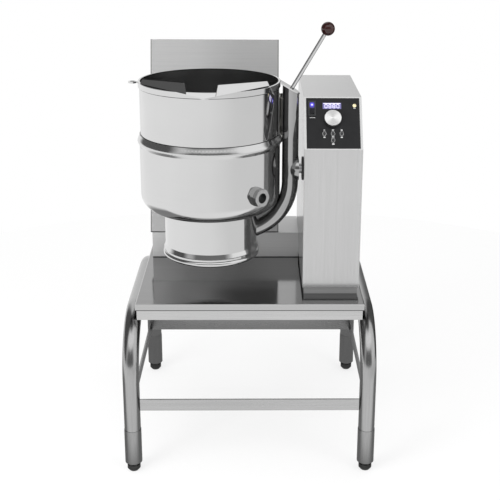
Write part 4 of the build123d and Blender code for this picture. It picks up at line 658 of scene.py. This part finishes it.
# Sight glass: a thick glass disc, dark because the jacket behind it is, held in a boss by a
# ground hexagon nut.
nut_steel = brushed_steel("nut_steel", grey(0.40), grey(0.54), 0.20, (300, 300, 300))
dress(nut_steel, "sight_glass_nut")
lens_dark = plain_finish(
    "lens_dark", (0.008, 0.009, 0.009), (0.018, 0.020, 0.020), 0.10, 200, 0.000002
)
dress(lens_dark, "sight_glass_lens")

# Relief valve: nickel-plated brass, screwed into the jacket at the kettle's back, with a test
# lever.
valve_nickel = brushed_steel(
    "valve_nickel", (0.42, 0.41, 0.38), (0.56, 0.55, 0.51), 0.24, (300, 300, 300)
)
dress(valve_nickel, "relief_valve", "relief_lever")

# Carrier tube and boss: polished tube that is bent in under the jacket and welded to it, and
# the bracket that ties the tube's head to the rim.
# Painted reflection: the tube and boss are a darker copy of the kettle's polish.
tube_polish_painted_dark = polished_steel("tube_polish_painted_dark", grey(0.38), grey(0.44), 0.12)
dress(tube_polish_painted_dark, "carrier_tube", "trunnion_boss")
dress(kettle_polish, "rim_bracket")

# Trunnion: the hollow turned shaft that carries the kettle in its bearings, its rubber seal on
# the console's side, and the stop arm that meets one of two blocks at each end of the tilt.
dress(turned_steel, "trunnion_shaft", "shaft_collar_and_stop_arm", "tilt_stops")
seal_rubber = plain_finish("seal_rubber", grey(0.010), grey(0.020), 0.45, 1500, 0.00003)
dress(seal_rubber, "shaft_seal")

# Tilting lever: a polished rod screwed into the tube's head, with a ball grip of dark red
# phenolic on its end.
dress(kettle_polish, "lever_rod")
ball_phenolic = plain_finish(
    "ball_phenolic", (0.018, 0.004, 0.004), (0.036, 0.007, 0.006), 0.14, 300, 0.000002, coat=0.3
)
dress(ball_phenolic, "lever_ball")


# Floor: a plain pale disc that keeps the kettle's shadow.  Mirror-like surfaces see it lit by
# the room's tones, white in front of the stand and shaded beneath it.
def second_mirror(tree, path):
    """1 where one mirror-like surface shows another, and 0 elsewhere."""
    return spread(tree, path.outputs["Glossy Depth"], 0, 1, 1.0, 2.0)


def straight_sight(tree, path):
    """1 for rays from the lens, also through glass, and 0 for reflections and soft light."""
    return calculate(
        tree, "MAXIMUM", path.outputs["Is Camera Ray"], path.outputs["Is Transmission Ray"]
    )


def room_tones(tree, spot, tones):
    """A tone by compass angle: 0 at the back, by the left to 0.5 in front, and on by the right."""
    turn = calculate(tree, "ARCTAN2", spot["X"], calculate(tree, "MULTIPLY", spot["Y"], -1))
    angle = calculate(tree, "ADD", calculate(tree, "DIVIDE", turn, 2 * pi), 0.5)
    ramp = tree.nodes.new("ShaderNodeValToRGB")
    tree.links.new(angle, ramp.inputs["Fac"])
    stops = ramp.color_ramp.elements
    while len(stops) < len(tones):
        stops.new(0.5)
    for stop, (position, tone) in zip(stops, tones):
        stop.position = position
        stop.color = (*grey(tone), 1)
    return ramp.outputs["Color"]


floor_reach = 2.4
near_reach = 1.2
far_reach = 1.8
front_y = -0.54
shade_y = -0.36
front_tone = 0.95
shade_tone = 0.26
deep_low_tone = 0.14
plain_share = 0.72
low_tones = (
    (0.000, 0.85), (0.060, 0.88), (0.100, 0.98), (0.300, 0.98), (0.500, 0.92), (0.620, 0.80),
    (0.775, 0.78), (0.788, 0.04), (0.850, 0.03), (0.930, 0.06), (0.965, 0.50), (1.000, 0.85),
)
bpy.ops.object.select_all(action="DESELECT")
bpy.ops.mesh.primitive_circle_add(
    vertices=96, radius=floor_reach, fill_type="NGON", location=(0, 0, 0)
)
floor = bpy.context.object
floor.name = "studio_floor"
floor_finish, tree, shader, place = new_finish("floor_white", grey(0.97), 0.0, 0.9)
floor.data.materials.append(floor_finish)
path = tree.nodes.new("ShaderNodeLightPath")
glossy = path.outputs["Is Glossy Ray"]
spot = axes(tree, place)
near_tone = spread(tree, spot["Y"], front_tone, shade_tone, front_y, shade_y)
far = spread(tree, from_axis(tree, spot, (0, 0)), 0, 1, near_reach, far_reach)
mirrored_tone = blend(tree, far, near_tone, room_tones(tree, spot, low_tones))
pale = tree.nodes.new("ShaderNodeEmission")
tree.links.new(blend(tree, glossy, grey(1), mirrored_tone), pale.inputs["Color"])
pale_level = spread(tree, second_mirror(tree, path), 1.0, deep_low_tone, 0.0, 1.0)
tree.links.new(pale_level, pale.inputs["Strength"])
pale_share = calculate(tree, "MULTIPLY", straight_sight(tree, path), plain_share)
both = tree.nodes.new("ShaderNodeMixShader")
tree.links.new(calculate(tree, "MAXIMUM", pale_share, glossy), both.inputs["Fac"])
tree.links.new(shader.outputs["BSDF"], both.inputs[1])
tree.links.new(pale.outputs["Emission"], both.inputs[2])
tree.links.new(both.outputs["Shader"], tree.nodes["Material Output"].inputs["Surface"])

# Room: a plain white world that gives soft light.  Only reflections see its dark screens at
# the sides and in front, its bright strip overhead and its dark roof.
high_tones = (
    (0.000, 0.90), (0.080, 0.90), (0.130, 0.12), (0.310, 0.10), (0.380, 0.90), (0.500, 0.95),
    (0.620, 0.95), (0.700, 1.00), (0.775, 1.00), (0.795, 0.12), (0.930, 0.10), (1.000, 0.90),
)
soft_light = 0.92
deep_high_tone = 0.60
roof_tone = 0.10
screen_tone = 0.20
strip_tone = 1.35
world = bpy.data.worlds.new("studio")
bpy.context.scene.world = world
world.use_nodes = True
tree = world.node_tree
background = tree.nodes["Background"]
path = tree.nodes.new("ShaderNodeLightPath")
direction = axes(tree, tree.nodes.new("ShaderNodeTexCoord").outputs["Generated"])
low = room_tones(tree, direction, low_tones)
high = room_tones(tree, direction, high_tones)
room = blend(tree, spread(tree, direction["Z"], 0, 1, -0.03, 0.05), low, high, "FLOAT")
roof = spread(tree, direction["Z"], 1.0, roof_tone, 0.90, 0.97)
ahead = spread(tree, direction["Y"], 1, 0, -0.80, -0.55)
screen_foot = spread(tree, direction["Z"], 0, 1, 0.04, 0.09)
screen_head = spread(tree, direction["Z"], 1, 0, 0.50, 0.60)
screen_height = calculate(tree, "MULTIPLY", screen_foot, screen_head)
screened = calculate(tree, "MULTIPLY", ahead, screen_height)
strip_height = spread(tree, direction["Z"], 0, 1, 0.58, 0.66)
strip_side = spread(tree, direction["Y"], 1, 0, -0.35, -0.20)
strip = calculate(tree, "MULTIPLY", strip_height, strip_side)
gloss_tone = calculate(tree, "MULTIPLY", room, roof)
for where, tone in ((screened, screen_tone), (strip, strip_tone)):
    gloss_tone = calculate(tree, "MULTIPLY", gloss_tone, spread(tree, where, 1.0, tone, 0.0, 1.0))
deep_level = spread(tree, direction["Z"], deep_low_tone, deep_high_tone, -0.02, 0.06)
deep_tone = calculate(tree, "MULTIPLY", room, deep_level)
gloss_tone = blend(tree, second_mirror(tree, path), gloss_tone, deep_tone, "FLOAT")
level = blend(tree, path.outputs["Is Glossy Ray"], soft_light, gloss_tone, "FLOAT")
level = blend(tree, straight_sight(tree, path), level, 1.0, "FLOAT")
tree.links.new(level, background.inputs["Strength"])
feed(tree, background.inputs["Color"], grey(1))


# Lamps: three large soft boxes, a key at the upper left, a weaker fill at the upper right and a
# low one that reaches the riser box.  None of them shows in a reflection.
def soft_lamp(name, place, target, width, height, power):
    """A soft box that faces a point."""
    lamp = bpy.data.lights.new(name, "AREA")
    lamp.shape = "RECTANGLE"
    lamp.size = width
    lamp.size_y = height
    lamp.energy = power
    holder = bpy.data.objects.new(name, lamp)
    bpy.context.scene.collection.objects.link(holder)
    holder.location = place
    aim = Vector(target) - Vector(place)
    holder.rotation_euler = aim.to_track_quat("-Z", "Y").to_euler()
    holder.visible_glossy = False


kettle_height = (0, 0, 0.8)
riser_front = (0.05, 0.16, 0.57)
soft_lamp("key_lamp", (-2.6, -2.2, 2.6), kettle_height, width=1.6, height=1.6, power=45)
soft_lamp("fill_lamp", (2.6, -2.4, 2.2), kettle_height, width=1.4, height=1.6, power=25)
soft_lamp("low_lamp", (-1.5, -2.0, 0.62), riser_front, width=0.8, height=0.5, power=24)

# Camera: a long lens a little above the rim, turned and rolled slightly and shifted to frame
# the stand.
camera_place = (0.019, -3.1486, 1.738)
pitch = radians(16.83)
yaw = radians(1.12)
roll = radians(0.41)
look = Vector((sin(yaw) * cos(pitch), cos(yaw) * cos(pitch), -sin(pitch)))
across = Vector((cos(yaw), -sin(yaw), 0))
above = across.cross(look)
right = cos(roll) * across + sin(roll) * above
up = cos(roll) * above - sin(roll) * across
lens = bpy.data.cameras.new("studio_camera")
lens.lens = 72.48
lens.sensor_width = 36.0
lens.shift_x = -0.05
lens.shift_y = -0.10
camera = bpy.data.objects.new("studio_camera", lens)
bpy.context.scene.collection.objects.link(camera)
turned = Matrix((right, up, -look)).transposed().to_4x4()
camera.matrix_world = Matrix.Translation(camera_place) @ turned
bpy.context.scene.camera = camera
bpy.context.scene.view_settings.view_transform = "Standard"
